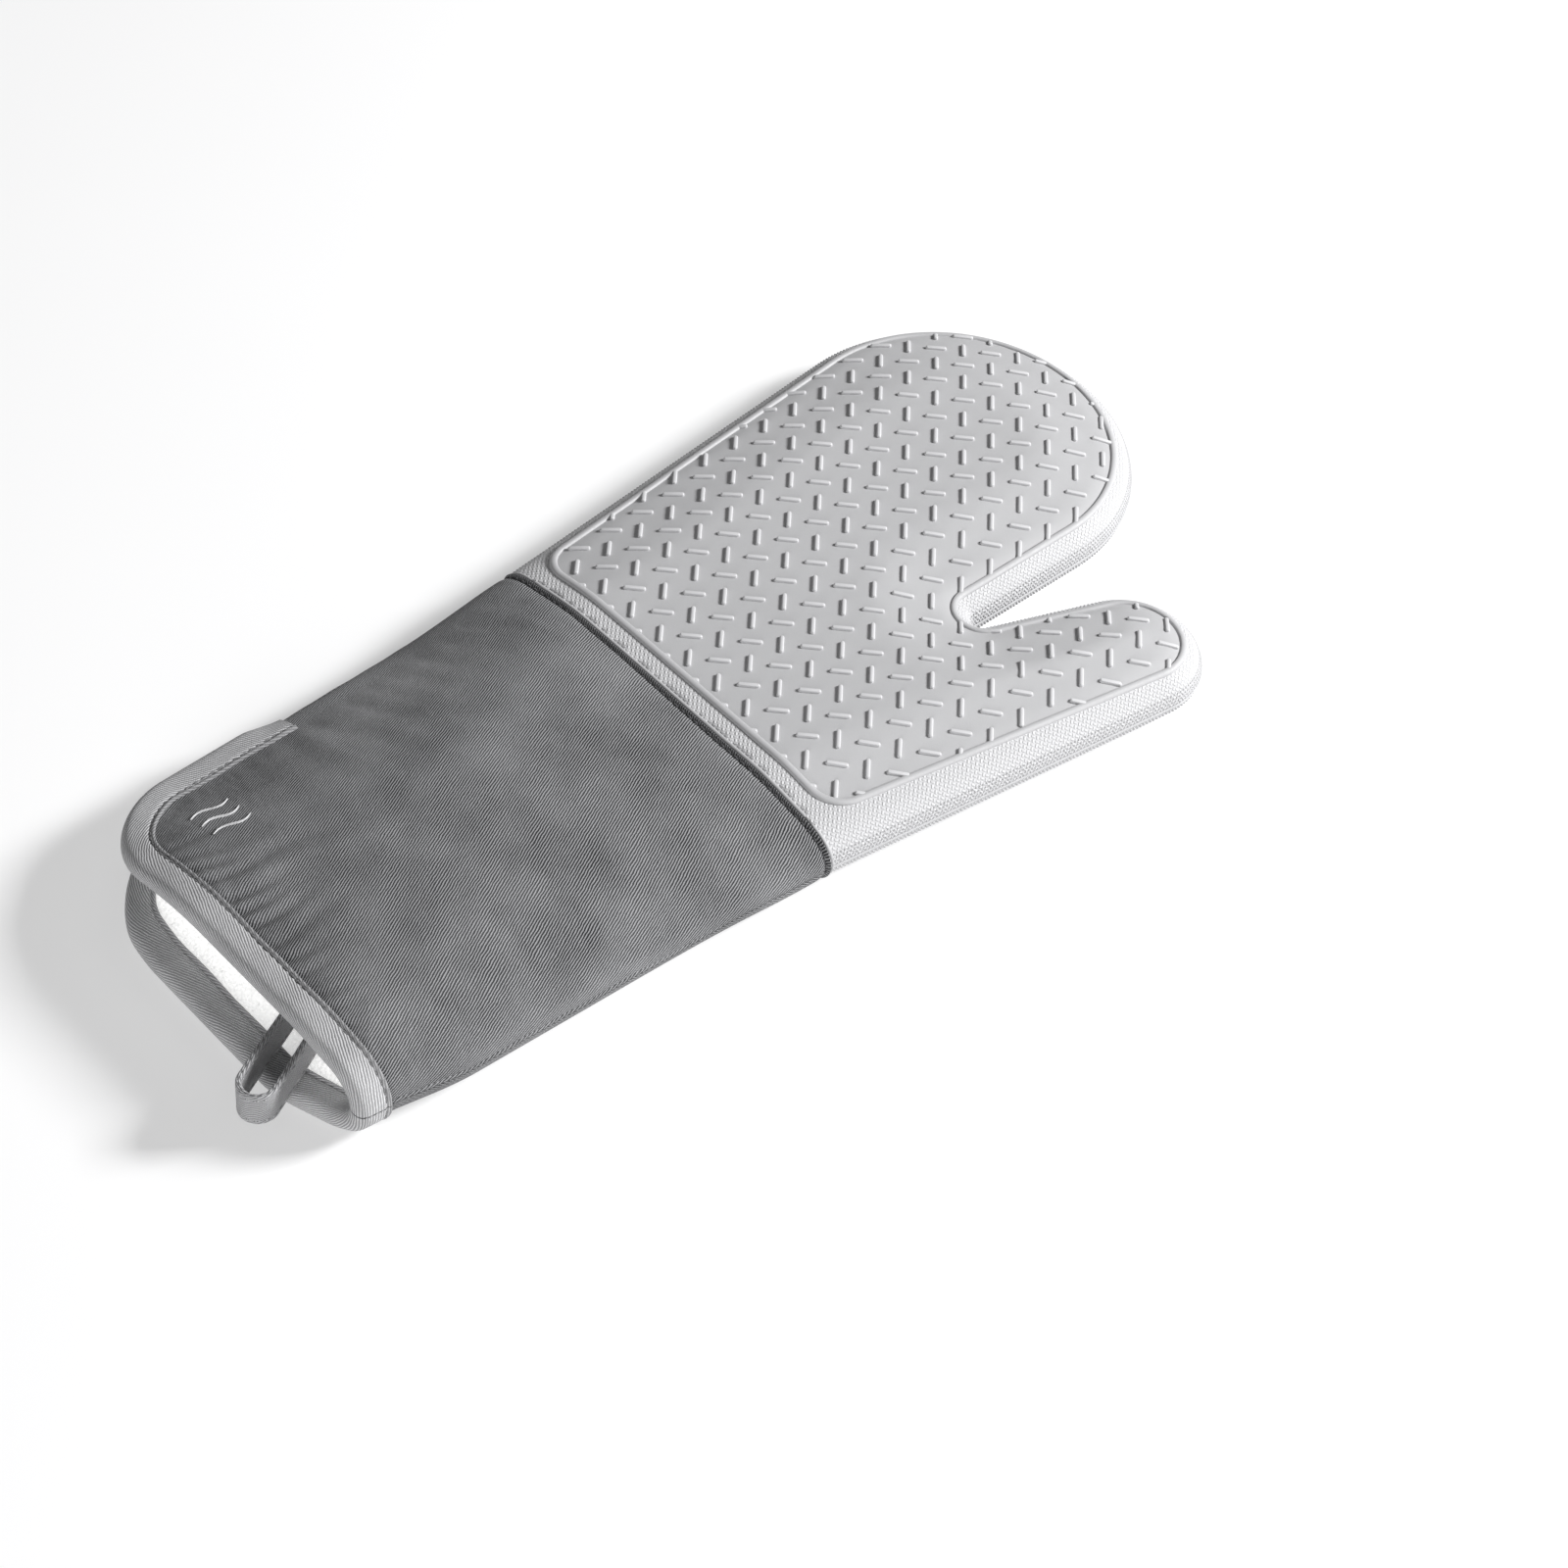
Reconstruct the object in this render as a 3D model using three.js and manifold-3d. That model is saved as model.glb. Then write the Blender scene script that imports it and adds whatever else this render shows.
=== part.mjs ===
// An extra-long oven mitt lying on its back: two moulded silicone half shells for the hand,
// a padded twill cuff with a bound mouth and a side vent, wadding and terry lining inside,
// and a hanging loop that swings about its sewn end.
// Millimetres. +X points to the fingertips, +Y to the little-finger side, +Z up from the table.
// The origin is under the middle of the mitt's bounding box.
import * as THREE from "three";
import { mergeVertices } from "three/addons/utils/BufferGeometryUtils.js";
import Module from "manifold-3d";

const wasm = await Module();
wasm.setup();

const HALF_LENGTH = 193.5; // from the middle of the mitt without its loop to the fingertips
const CENTRE_X = 4.8; // puts the middle of the length with the loop at the origin
const HALF_WIDTH = 91; // from the middle to the knuckle side, and to the thumb
const HAND_HALF = 10; // height of the side seam over the table along the hand
const MOUTH_HALF = 14; // height of the side seam at the mouth, where the cuff stands open
const RIM = 14; // width of the rounded edge, from the side seam to the flat face
const EDGE_BAND = 1; // height of the upright band at the side seam
const GAP = 0.3; // clearance between pieces that touch

const JOIN_X = -17.5; // where the silicone hand meets the twill cuff
const MOUTH_X = -181.5; // free edge of the cuff
const VENT_X = -110.5; // inner end of the side vent
const VENT_HALF = 3; // half the height of the gap between the vent's two bindings
const WRIST_FINGER_Y = 76.1; // side seams at the join
const WRIST_THUMB_Y = -72.5;
const MOUTH_FINGER_Y = 66.5; // side seams at the mouth
const MOUTH_THUMB_Y = -65.5;
const CORNER_R = 30; // rounded corner of the cuff between mouth and vent

const SILICONE = [0, 2]; // each layer as depths below the mitt's outer surface
const TWILL = [1.3, 2.2];
const WADDING = [2.5, 4.2];
const LINING = [4.5, 5.8];
const BINDING = [0, 7.1];
const BINDING_SLOT = [1, 6.1];
const BINDING_WIDTH = 10;
const THREAD = [0.4, 1];
const THREAD_WIDTH = 0.8;

const LOOP_HEIGHT = 12; // the strap stands on edge
const LOOP_STRAP = 1.6;
const LOOP_ROOT_X = -165.3;
const LOOP_ROOT_R = 5.5;
const LOOP_TIP_R = 6;
const LOOP_REACH = 35; // from the sewn root to the middle of the round tip
const LOOP_TURN = THREE.MathUtils.degToRad(25); // from -X towards the thumb
const LOOP_Y = -22;
const LOOP_Z = 8;
const TACK_WIDTH = 6;
const TACK_LENGTH = 3;
const STEAM_X = -158.5;
const STEAM_Y = 46; // the first of three strokes
const STEAM_LENGTH = 13;
const STEAM_PITCH = 5.5;
const STEAM_WAVE = 1.2;
const STEAM_STEPS = 12;

const ARC_STEP = THREE.MathUtils.degToRad(14);
const CUFF_STEPS = 6;
const TALL = 80;

const handEnd = [HALF_LENGTH - 59.5, HALF_WIDTH - 59.5, 59.5];
const thumbTip = [113.8, 23.3 - HALF_WIDTH, 23.3];
const crotch = [86, -30, -2.2];
const fingerHeel = [-76.5, 9.7, 60]; // past the join, where the hand's sides run out
const thumbHeel = [-76.5, -3.5, 60];

const lerp = THREE.MathUtils.lerp;

// The outline of a belt round circles [x, y, radius], anticlockwise; a negative radius is a
// hollow corner. Each circle is moved out by grow, so outlines of one belt run parallel.
function belt(circles, grow) {
  const rounds = circles.map(([x, y, r]) => [x, y, r + grow]);
  const normals = rounds.map(([x, y, r], i) => {
    const [nx, ny, nr] = rounds[(i + 1) % rounds.length];
    const along = Math.atan2(ny - y, nx - x);
    return along - Math.PI / 2 + Math.asin((r - nr) / Math.hypot(nx - x, ny - y));
  });
  const points = [];
  rounds.forEach(([x, y, r], i) => {
    const start = normals[(i + normals.length - 1) % normals.length];
    const full = 2 * Math.PI;
    const left = (((normals[i] - start) % full) + full) % full;
    const turn = r > 0 ? left : left - full;
    const steps = Math.max(1, Math.round(Math.abs(turn) / ARC_STEP));
    for (let k = 0; k <= steps; k++) {
      const angle = start + (turn * k) / steps;
      points.push(new THREE.Vector2(x + r * Math.cos(angle), y + r * Math.sin(angle)));
    }
  });
  return points;
}

function solidOf(geometry) {
  geometry.deleteAttribute("normal");
  geometry.deleteAttribute("uv");
  const merged = mergeVertices(geometry, 1e-4);
  const mesh = new wasm.Mesh({
    numProp: 3,
    vertProperties: merged.attributes.position.array,
    triVerts: new Uint32Array(merged.index.array),
  });
  return new wasm.Manifold(mesh);
}

// An upright prism on an outline in plan.
function prism(points, low, high) {
  const shape = new THREE.Shape(points);
  const geometry = new THREE.ExtrudeGeometry(shape, { depth: high - low, bevelEnabled: false });
  return solidOf(geometry.translate(0, 0, low));
}

// Everything between two places along the mitt and two places across it.
function region(xLow, xHigh, yLow = -2 * HALF_WIDTH, yHigh = 2 * HALF_WIDTH) {
  const box = new THREE.BoxGeometry(xHigh - xLow, yHigh - yLow, 2 * TALL);
  return solidOf(box.translate((xLow + xHigh) / 2, (yLow + yHigh) / 2, 0));
}

// Height of the side seam along the mitt: level in the hand, rising towards the mouth.
function seamHeight(x) {
  const along = Math.max(0, (JOIN_X - x) / (JOIN_X - MOUTH_X));
  return lerp(HAND_HALF, MOUTH_HALF, along);
}

// Everything from low to high above the side seam.
function storey(low, high) {
  const xEnd = MOUTH_X - RIM;
  const hand = new THREE.BoxGeometry(1.2 * HALF_LENGTH - JOIN_X, 4 * HALF_WIDTH, high - low);
  hand.translate((1.2 * HALF_LENGTH + JOIN_X) / 2, 0, HAND_HALF + (low + high) / 2);
  const cuff = new THREE.BoxGeometry(JOIN_X - xEnd, 4 * HALF_WIDTH, high - low, CUFF_STEPS);
  cuff.translate((JOIN_X + xEnd) / 2, 0, (low + high) / 2);
  const at = cuff.attributes.position;
  for (let i = 0; i < at.count; i++) at.setZ(i, at.getZ(i) + seamHeight(at.getX(i)));
  return solidOf(hand).add(solidOf(cuff));
}

// The hand's rounded body, inset all round below its outer surface.
function handBody(inset) {
  const circles = [handEnd, fingerHeel, thumbHeel, thumbTip, crotch];
  const face = new THREE.Shape(belt(circles, -RIM));
  const geometry = new THREE.ExtrudeGeometry(face, {
    depth: EDGE_BAND,
    bevelSize: RIM - inset,
    bevelThickness: HAND_HALF - EDGE_BAND / 2 - inset,
    bevelSegments: 3,
  });
  return solidOf(geometry.translate(0, 0, HAND_HALF - EDGE_BAND / 2));
}

// The cuff's rounded tube, inset in the same way. Its cross-section at the wrist is drawn
// once, and every step towards the mouth is made narrower and taller.
function cuffBody(inset) {
  const height = HAND_HALF - inset;
  const section = [];
  for (const [seam, out] of [
    [WRIST_FINGER_Y, 1],
    [WRIST_THUMB_Y, -1],
  ]) {
    for (const turn of [-3, -2, -1, 0, 0, 1, 2, 3]) {
      const side = section.length % 8 < 4 ? -out : out;
      const angle = (out * turn * Math.PI) / 6;
      const across = seam - out * (RIM - (RIM - inset) * Math.cos(angle));
      const up = (height - EDGE_BAND / 2) * Math.sin(angle) + (side * EDGE_BAND) / 2;
      section.push(new THREE.Vector2(across, up));
    }
  }
  const xEnd = MOUTH_X - RIM;
  const geometry = new THREE.ExtrudeGeometry(new THREE.Shape(section), {
    depth: 1,
    steps: CUFF_STEPS,
    bevelEnabled: false,
  });
  const at = geometry.attributes.position;
  for (let i = 0; i < at.count; i++) {
    const x = lerp(xEnd, JOIN_X, at.getZ(i));
    const along = (JOIN_X - x) / (JOIN_X - MOUTH_X);
    const taper = at.getX(i) > 0 ? MOUTH_FINGER_Y - WRIST_FINGER_Y : MOUTH_THUMB_Y - WRIST_THUMB_Y;
    const seam = seamHeight(x);
    const up = (at.getY(i) * (seam - inset)) / height;
    at.setXYZ(i, x, at.getX(i) + taper * along, seam + up);
  }
  return solidOf(geometry);
}

// A circle that touches the inside of the cuff's finger-side edge at one place along it.
function underFingerSide(x) {
  const slope = (WRIST_FINGER_Y - MOUTH_FINGER_Y) / (JOIN_X - MOUTH_X);
  const edge = MOUTH_FINGER_Y + slope * (x - MOUTH_X);
  return [x, edge - CORNER_R * Math.hypot(1, slope), CORNER_R];
}

// The plan of the cuff inside its bound edge: the mouth, the round corner and the vent.
function boundPlan(inset) {
  const corner = MOUTH_X + CORNER_R;
  const circles = [
    underFingerSide(corner),
    [corner, -2 * HALF_WIDTH, CORNER_R],
    [0, -2 * HALF_WIDTH, CORNER_R],
    underFingerSide(0),
  ];
  return prism(belt(circles, -inset), -TALL, TALL);
}

function layer(body, [outer, inner]) {
  return body(outer).subtract(body(inner));
}

const front = (clear) => storey(clear, TALL);
const back = (clear) => storey(-TALL, -clear);
const handZone = region(JOIN_X + GAP / 2, 1.1 * HALF_LENGTH);
const cuffZone = region(2 * MOUTH_X, JOIN_X - GAP / 2);
const ventZone = region(2 * MOUTH_X, VENT_X, HALF_WIDTH / 3);
const SEAM_STRIP = 0.6; // half the height of the strip that joins the halves at an edge
const SEAM_CLEAR = SEAM_STRIP + GAP;

function handHalf(depths, half, clear) {
  return layer(handBody, depths).intersect(handZone).intersect(half(clear));
}

function edgeStrip(body, depths, zone) {
  return layer(body, depths).intersect(zone).intersect(storey(-SEAM_STRIP, SEAM_STRIP));
}

// A cuff panel: cut back inside the binding at the mouth and along the vent.
function cuffHalf(depths, half) {
  const hem = BINDING_SLOT[0] + GAP;
  const open = ventZone.subtract(half(VENT_HALF + hem));
  return layer(cuffBody, depths)
    .intersect(cuffZone)
    .intersect(half(SEAM_CLEAR))
    .intersect(boundPlan(hem))
    .subtract(open);
}

// Folded tape round the edges of one panel, with a slot that the panel sits in.
function binding(half) {
  const wall = BINDING_SLOT[0];
  const long = region(2 * MOUTH_X, VENT_X - GAP);
  const fold = layer(cuffBody, BINDING)
    .intersect(boundPlan(0))
    .subtract(boundPlan(BINDING_WIDTH))
    .intersect(half(GAP / 2))
    .subtract(ventZone.subtract(half(VENT_HALF)));
  const slot = layer(cuffBody, BINDING_SLOT)
    .intersect(boundPlan(wall))
    .subtract(ventZone.subtract(half(VENT_HALF + wall)));
  return fold.subtract(slot).intersect(long);
}

// Raised thread that lies on the twill within a zone in plan.
function threadOn(zone, half) {
  return layer(cuffBody, THREAD).intersect(zone).intersect(half(SEAM_CLEAR));
}

function bindingThread(half) {
  const start = BINDING_WIDTH + GAP;
  const line = boundPlan(start).subtract(boundPlan(start + THREAD_WIDTH));
  const open = ventZone.subtract(half(VENT_HALF + BINDING_SLOT[0] + GAP));
  return threadOn(line, half).intersect(region(2 * MOUTH_X, VENT_X)).subtract(open);
}

function joinThread(half) {
  const x = JOIN_X - 4;
  return threadOn(region(x - THREAD_WIDTH, x), half);
}

// One wavy line of the embroidered steam mark, running along the cuff.
function steamLine(index) {
  const middle = STEAM_Y - STEAM_PITCH * index;
  const points = [1, -1].flatMap((side) => {
    const edge = [];
    for (let k = 0; k <= STEAM_STEPS; k++) {
      const x = STEAM_X + (STEAM_LENGTH * k) / STEAM_STEPS;
      const wave = STEAM_WAVE * Math.sin((2 * Math.PI * k) / STEAM_STEPS);
      edge.push(new THREE.Vector2(x, middle + wave + side * THREAD_WIDTH / 2));
    }
    return side > 0 ? edge.reverse() : edge;
  });
  return threadOn(prism(points, -TALL, TALL), front);
}

const loopRoot = new THREE.Vector2(LOOP_ROOT_X, LOOP_Y);

// The strap folded back on itself: a ring in plan, narrow at its sewn root, round at its tip.
function hangingLoop() {
  const tip = [
    loopRoot.x - LOOP_REACH * Math.cos(LOOP_TURN),
    loopRoot.y - LOOP_REACH * Math.sin(LOOP_TURN),
    LOOP_TIP_R,
  ];
  const circles = [[loopRoot.x, loopRoot.y, LOOP_ROOT_R], tip];
  const top = LOOP_Z + LOOP_HEIGHT;
  const eye = prism(belt(circles, -LOOP_STRAP), -TALL, TALL);
  return prism(belt(circles, 0), LOOP_Z, top).subtract(eye);
}

// The block of bar-tack stitches that holds the strap's ends to the lining.
function loopTack() {
  const near = loopRoot.x + LOOP_ROOT_R + GAP;
  const half = TACK_WIDTH / 2;
  const block = region(near, near + TACK_LENGTH, LOOP_Y - half, LOOP_Y + half);
  const top = cuffBody(LINING[1] + GAP);
  return block.intersect(top).intersect(front(LOOP_Z - seamHeight(near)));
}

const silicone = { color: 0xcfcfd1, roughness: 0.55, metalness: 0 };
const twill = { color: 0x74757a, roughness: 0.95, metalness: 0 };
const tape = { color: 0xc4c5c8, roughness: 0.9, metalness: 0 };
const terry = { color: 0xf1f1ef, roughness: 1, metalness: 0 };
const batting = { color: 0xfafafa, roughness: 1, metalness: 0 };
const darkThread = { color: 0x4b4c50, roughness: 0.8, metalness: 0 };
const paleThread = { color: 0xdcdcde, roughness: 0.7, metalness: 0 };

const mitt = new THREE.Group();
mitt.name = "oven_mitt";

function addPiece(name, solid, look) {
  const { vertProperties, triVerts } = solid.getMesh();
  const geometry = new THREE.BufferGeometry();
  geometry.setAttribute("position", new THREE.BufferAttribute(vertProperties, 3));
  geometry.setIndex(new THREE.BufferAttribute(triVerts, 1));
  geometry.computeVertexNormals();
  const mesh = new THREE.Mesh(geometry, new THREE.MeshStandardMaterial(look));
  mesh.name = name;
  mesh.position.x = CENTRE_X;
  mitt.add(mesh);
}

for (const [face, half] of [
  ["front", front],
  ["back", back],
]) {
  addPiece(`silicone_hand_${face}`, handHalf(SILICONE, half, SEAM_CLEAR), silicone);
  addPiece(`hand_wadding_${face}`, handHalf(WADDING, half, SEAM_CLEAR), batting);
  addPiece(`hand_lining_${face}`, handHalf(LINING, half, SEAM_CLEAR), terry);
  addPiece(`cuff_twill_${face}`, cuffHalf(TWILL, half), twill);
  addPiece(`cuff_wadding_${face}`, cuffHalf(WADDING, half), batting);
  addPiece(`cuff_lining_${face}`, cuffHalf(LINING, half), terry);
  addPiece(`binding_${face}`, binding(half), tape);
  addPiece(`binding_thread_${face}`, bindingThread(half), paleThread);
  addPiece(`join_thread_${face}`, joinThread(half), darkThread);
}

addPiece("silicone_edge_bond", edgeStrip(handBody, SILICONE, handZone), silicone);
addPiece("hand_lining_seam", edgeStrip(handBody, LINING, handZone), terry);

const sewn = [TWILL[0], LINING[1]];
const thumbSide = region(MOUTH_X + BINDING_WIDTH + GAP, JOIN_X - GAP / 2, -HALF_WIDTH, 0);
const fingerSide = region(VENT_X + GAP, JOIN_X - GAP / 2, 0, HALF_WIDTH);
addPiece("cuff_seam_thumb_side", edgeStrip(cuffBody, sewn, thumbSide), twill);
addPiece("cuff_seam_finger_side", edgeStrip(cuffBody, sewn, fingerSide), twill);

for (const index of [0, 1, 2]) {
  addPiece(`steam_embroidery_${index + 1}`, steamLine(index), paleThread);
}
addPiece("hanging_loop", hangingLoop(), tape);
addPiece("hanging_loop_tack", loopTack(), paleThread);

export default mitt;
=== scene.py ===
"""An extra-long oven mitt: ribbed silicone hand, padded twill cuff, bound mouth, terry lining, loop."""

import math

import bmesh
import bpy
import numpy as np
from mathutils import Matrix, Vector, kdtree
from mathutils.bvhtree import BVHTree
from mathutils.geometry import delaunay_2d_cdt


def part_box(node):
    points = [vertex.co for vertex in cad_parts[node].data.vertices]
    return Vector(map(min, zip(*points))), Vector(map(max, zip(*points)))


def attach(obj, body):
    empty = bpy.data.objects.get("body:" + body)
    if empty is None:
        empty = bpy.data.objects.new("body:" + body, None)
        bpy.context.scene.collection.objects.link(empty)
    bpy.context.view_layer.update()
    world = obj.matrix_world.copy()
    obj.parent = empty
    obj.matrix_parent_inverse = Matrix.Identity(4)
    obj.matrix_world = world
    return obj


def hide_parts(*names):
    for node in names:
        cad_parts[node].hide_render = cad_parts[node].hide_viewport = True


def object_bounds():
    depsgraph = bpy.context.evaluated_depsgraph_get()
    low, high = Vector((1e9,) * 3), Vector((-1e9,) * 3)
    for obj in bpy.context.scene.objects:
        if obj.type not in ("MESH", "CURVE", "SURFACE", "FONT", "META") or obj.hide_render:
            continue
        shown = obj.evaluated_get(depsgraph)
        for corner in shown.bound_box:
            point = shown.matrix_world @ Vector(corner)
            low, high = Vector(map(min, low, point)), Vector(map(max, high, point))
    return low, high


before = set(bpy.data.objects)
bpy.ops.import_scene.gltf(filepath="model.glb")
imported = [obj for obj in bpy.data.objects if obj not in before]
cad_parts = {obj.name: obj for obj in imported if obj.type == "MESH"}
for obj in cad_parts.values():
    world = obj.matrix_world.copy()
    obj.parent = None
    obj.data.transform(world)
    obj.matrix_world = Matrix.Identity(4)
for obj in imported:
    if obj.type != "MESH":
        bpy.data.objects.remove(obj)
cad_low, cad_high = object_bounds()

MM = 0.001  # every shape below is worked out in millimetres and scaled at the end
FINGERTIP_X = 193.28  # from the middle of the mitt, without its loop, to the fingertips
ORIGIN = np.array([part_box("silicone_hand_front")[1][0] / MM - FINGERTIP_X, 0, 0])


def box_mm(node):
    """A node's lowest and highest corners, in millimetres from the middle of the mitt."""
    low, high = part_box(node)
    return np.array(low) / MM - ORIGIN, np.array(high) / MM - ORIGIN


# ---------------------------------------------------------------- driving sizes, from the frame

SHELL_LOW, SHELL_HIGH = box_mm("silicone_hand_front")
BINDING_LOW, BINDING_HIGH = box_mm("binding_front")
LOOP_LOW, LOOP_HIGH = box_mm("hanging_loop")
GAP = 0.3  # between neighbouring parts of the CAD model

HAND_SEAM_Z = (SHELL_LOW[2] + box_mm("silicone_hand_back")[1][2]) / 2
HAND_HALF = SHELL_HIGH[2] - HAND_SEAM_Z
MOUTH_HALF = BINDING_HIGH[2] / 2
JOIN_X = SHELL_LOW[0] - GAP / 2
MOUTH_X = BINDING_LOW[0]
VENT_X = BINDING_HIGH[0] + GAP
CUFF_LENGTH = JOIN_X - MOUTH_X
RIM = 14.0  # width of the rounded edge, from the side seam to the flat face
CORNER_R = 30.0  # rounded corner of the cuff between mouth and vent
WRIST_FINGER_Y, WRIST_THUMB_Y = 76.0, -72.5
MOUTH_FINGER_Y, MOUTH_THUMB_Y = 66.5, -65.5
BINDING_WIDTH = 10.0

HAND_END = (134.0, cad_high.y / MM - 59.3, 59.5)
THUMB_TIP = (113.8, cad_low.y / MM + 23.3, 23.3)
CROTCH = (86.0, -30.0, -2.2)
FINGER_HEEL = (-76.5, 9.7, 60.0)
THUMB_HEEL = (-76.5, -3.5, 60.0)
SEAM_BELT = (THUMB_HEEL, THUMB_TIP, CROTCH, HAND_END, FINGER_HEEL)

BORDER_INSET = 7.0  # the raised border stands this far inside the side seam
BORDER_CORNER = 11.0
BORDER_LEFT = JOIN_X + 8.0
BORDER_BELT = (
    (THUMB_TIP[0], THUMB_TIP[1], THUMB_TIP[2] - BORDER_INSET),
    (CROTCH[0], CROTCH[1], CROTCH[2] - BORDER_INSET),
    (HAND_END[0], HAND_END[1], HAND_END[2] - BORDER_INSET),
    (BORDER_LEFT + BORDER_CORNER, 59.5, BORDER_CORNER),
    (BORDER_LEFT + BORDER_CORNER, -52.7, BORDER_CORNER),
)
BORDER_HALF_WIDTH, BORDER_HEIGHT = 1.25, 0.95

RIB_PITCH = 9.2  # the ribs' lattice, turned 45 degrees to the mitt
RIB_LENGTH, RIB_HALF_WIDTH, RIB_HEIGHT = 7.0, 0.72, 1.0
BACK_HALF = HAND_HALF - RIB_HEIGHT - 0.05  # the back face is held up from the table by its ribs
RIB_ORIGIN = (9.5, 46.5)
NUB_SCALE = 7.0  # the fine texture outside the border repeats the ribs at a seventh
NUB_PITCH, NUB_ROWS = 1.3, (1.1, 2.1, 3.1, 4.1)  # bumps modelled next to the side seam
SUNK = 0.12  # how deep ribs are set into the face
SILICONE_WALL = 1.9
CROWN = 3.4  # how far the middle of the face stands over its edge

UP = np.array([0.0, 0.0, 1.0])
rng = np.random.default_rng(11)


# ---------------------------------------------------------------- camera

VIEW_RIGHT, VIEW_UP = Vector((0.7319, -0.6755, 0.0897)), Vector((0.4589, 0.5859, 0.6680))
VIEW_PLACE = (-512.7, -489.7, 732.6)  # from the middle of the mitt, at the height of its front face
VIEW_LENS = 77.6


def add_camera():
    """The photo's view: past the thumb side of the cuff, about 48 degrees above the face."""
    camera = bpy.data.objects.new("camera", bpy.data.cameras.new("camera"))
    turn = Matrix((VIEW_RIGHT, VIEW_UP, VIEW_RIGHT.cross(VIEW_UP))).transposed()
    place = Vector(VIEW_PLACE + ORIGIN + UP * SHELL_HIGH[2]) * MM
    camera.matrix_world = Matrix.Translation(place) @ turn.to_4x4()
    camera.data.lens = VIEW_LENS
    camera.data.sensor_width = 36.0
    camera.data.clip_end = 50
    bpy.context.scene.collection.objects.link(camera)
    bpy.context.scene.camera = camera


add_camera()


# ---------------------------------------------------------------- mesh making

class Shape:
    """The vertices, faces, pattern coordinates and material slots of one piece."""

    def __init__(self):
        self.co, self.uv, self.faces, self.slots, self.count = [], [], [], [], 0

    def add(self, co, faces, uv=None, slot=0):
        co = np.asarray(co, float).reshape(-1, 3)
        uv = co[:, :2] if uv is None else np.asarray(uv, float).reshape(-1, 2)
        self.co.append(co)
        self.uv.append(uv)
        self.faces += [[i + self.count for i in face] for face in faces]
        self.slots += [slot] * len(faces)
        self.count += len(co)

    def sheet(self, co, uv=None, slot=0, flip=False, keep=None):
        """A grid of points (rows, columns, 3), joined into quads."""
        rows, cols = co.shape[:2]
        index = np.arange(rows * cols).reshape(rows, cols)
        quads = np.stack([index[:-1, :-1], index[1:, :-1], index[1:, 1:], index[:-1, 1:]], -1)
        if keep is not None:
            quads = quads[keep[:-1, :-1] & keep[1:, :-1] & keep[1:, 1:] & keep[:-1, 1:]]
        quads = quads.reshape(-1, 4)
        if flip:
            quads = quads[:, ::-1]
        self.add(co, quads.tolist(), uv, slot)

    def tube(self, co, uv=None, flip=False):
        """Rings of points (rings, points, 3), each closed on itself, with flat ends."""
        if uv is not None:
            uv = np.concatenate([uv, uv[:, :1]], 1)
        self.sheet(np.concatenate([co, co[:, :1]], 1), uv, 0, flip)
        ring = list(range(co.shape[1]))
        self.add(co[0], [ring if flip else ring[::-1]])
        self.add(co[-1], [ring[::-1] if flip else ring])

    def object(self, name, materials, smooth=50):
        mesh = bpy.data.meshes.new(name)
        co = (np.concatenate(self.co) + ORIGIN) * MM
        mesh.from_pydata(co.tolist(), [], self.faces)
        mesh.update()
        layer = mesh.uv_layers.new(name="plan")
        uv = np.concatenate(self.uv)
        loops = np.empty(len(mesh.loops), np.int32)
        mesh.loops.foreach_get("vertex_index", loops)
        layer.data.foreach_set("uv", uv[loops].ravel().astype(np.float32))
        mesh.polygons.foreach_set("material_index", np.array(self.slots, np.int32))
        bm = bmesh.new()
        bm.from_mesh(mesh)
        bmesh.ops.remove_doubles(bm, verts=bm.verts, dist=2e-3 * MM)
        bm.to_mesh(mesh)
        bm.free()
        for material in materials:
            mesh.materials.append(material)
        mesh.polygons.foreach_set("use_smooth", np.ones(len(mesh.polygons), bool))
        mesh.set_sharp_from_angle(angle=math.radians(smooth))
        piece = bpy.data.objects.new(name, mesh)
        bpy.context.scene.collection.objects.link(piece)
        return piece


def circle(steps):
    """Angles of a full turn."""
    return np.linspace(0, 2 * math.pi, steps + 1)[:-1]


def rings_round(centre, side, up, across, rise):
    """Rings of points: from each centre, across along its side vector and rise along its up vector."""
    return (
        centre[:, None]
        + np.atleast_2d(side)[:, None] * across[..., None]
        + np.atleast_2d(up)[:, None] * rise[..., None]
    )


def at_height(plan, z):
    """Points in space from plan positions and their heights."""
    return np.concatenate([plan, np.broadcast_to(z, plan.shape[:-1])[..., None]], -1)


def pattern(along, round_it):
    """Pattern coordinates of a tube, from the lengths along it and round it."""
    return np.stack(np.broadcast_arrays(along[:, None], round_it[None]), -1)


def tube_piece(name, material, rings, uv=None, flip=False, smooth=50):
    """A piece that is one tube."""
    shape = Shape()
    shape.tube(rings, uv, flip)
    return shape.object(name, [material], smooth)


def solid_of(piece, thickness):
    """Gives a sheet its thickness in millimetres, inwards."""
    layer = piece.modifiers.new("thickness", "SOLIDIFY")
    layer.thickness = thickness * MM
    layer.offset = -1
    layer.use_even_offset = True
    layer.use_quality_normals = True
    view = bpy.context.evaluated_depsgraph_get()
    mesh = bpy.data.meshes.new_from_object(piece.evaluated_get(view), depsgraph=view)
    piece.modifiers.clear()
    old = piece.data
    piece.data = mesh
    bpy.data.meshes.remove(old)
    return piece


def joined(name, pieces):
    """One object from several that share their materials."""
    view = bpy.context.view_layer
    for other in bpy.context.selected_objects:
        other.select_set(False)
    for piece in pieces:
        piece.select_set(True)
    view.objects.active = pieces[0]
    bpy.ops.object.join()
    pieces[0].name = name
    pieces[0].select_set(False)
    return pieces[0]


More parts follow.
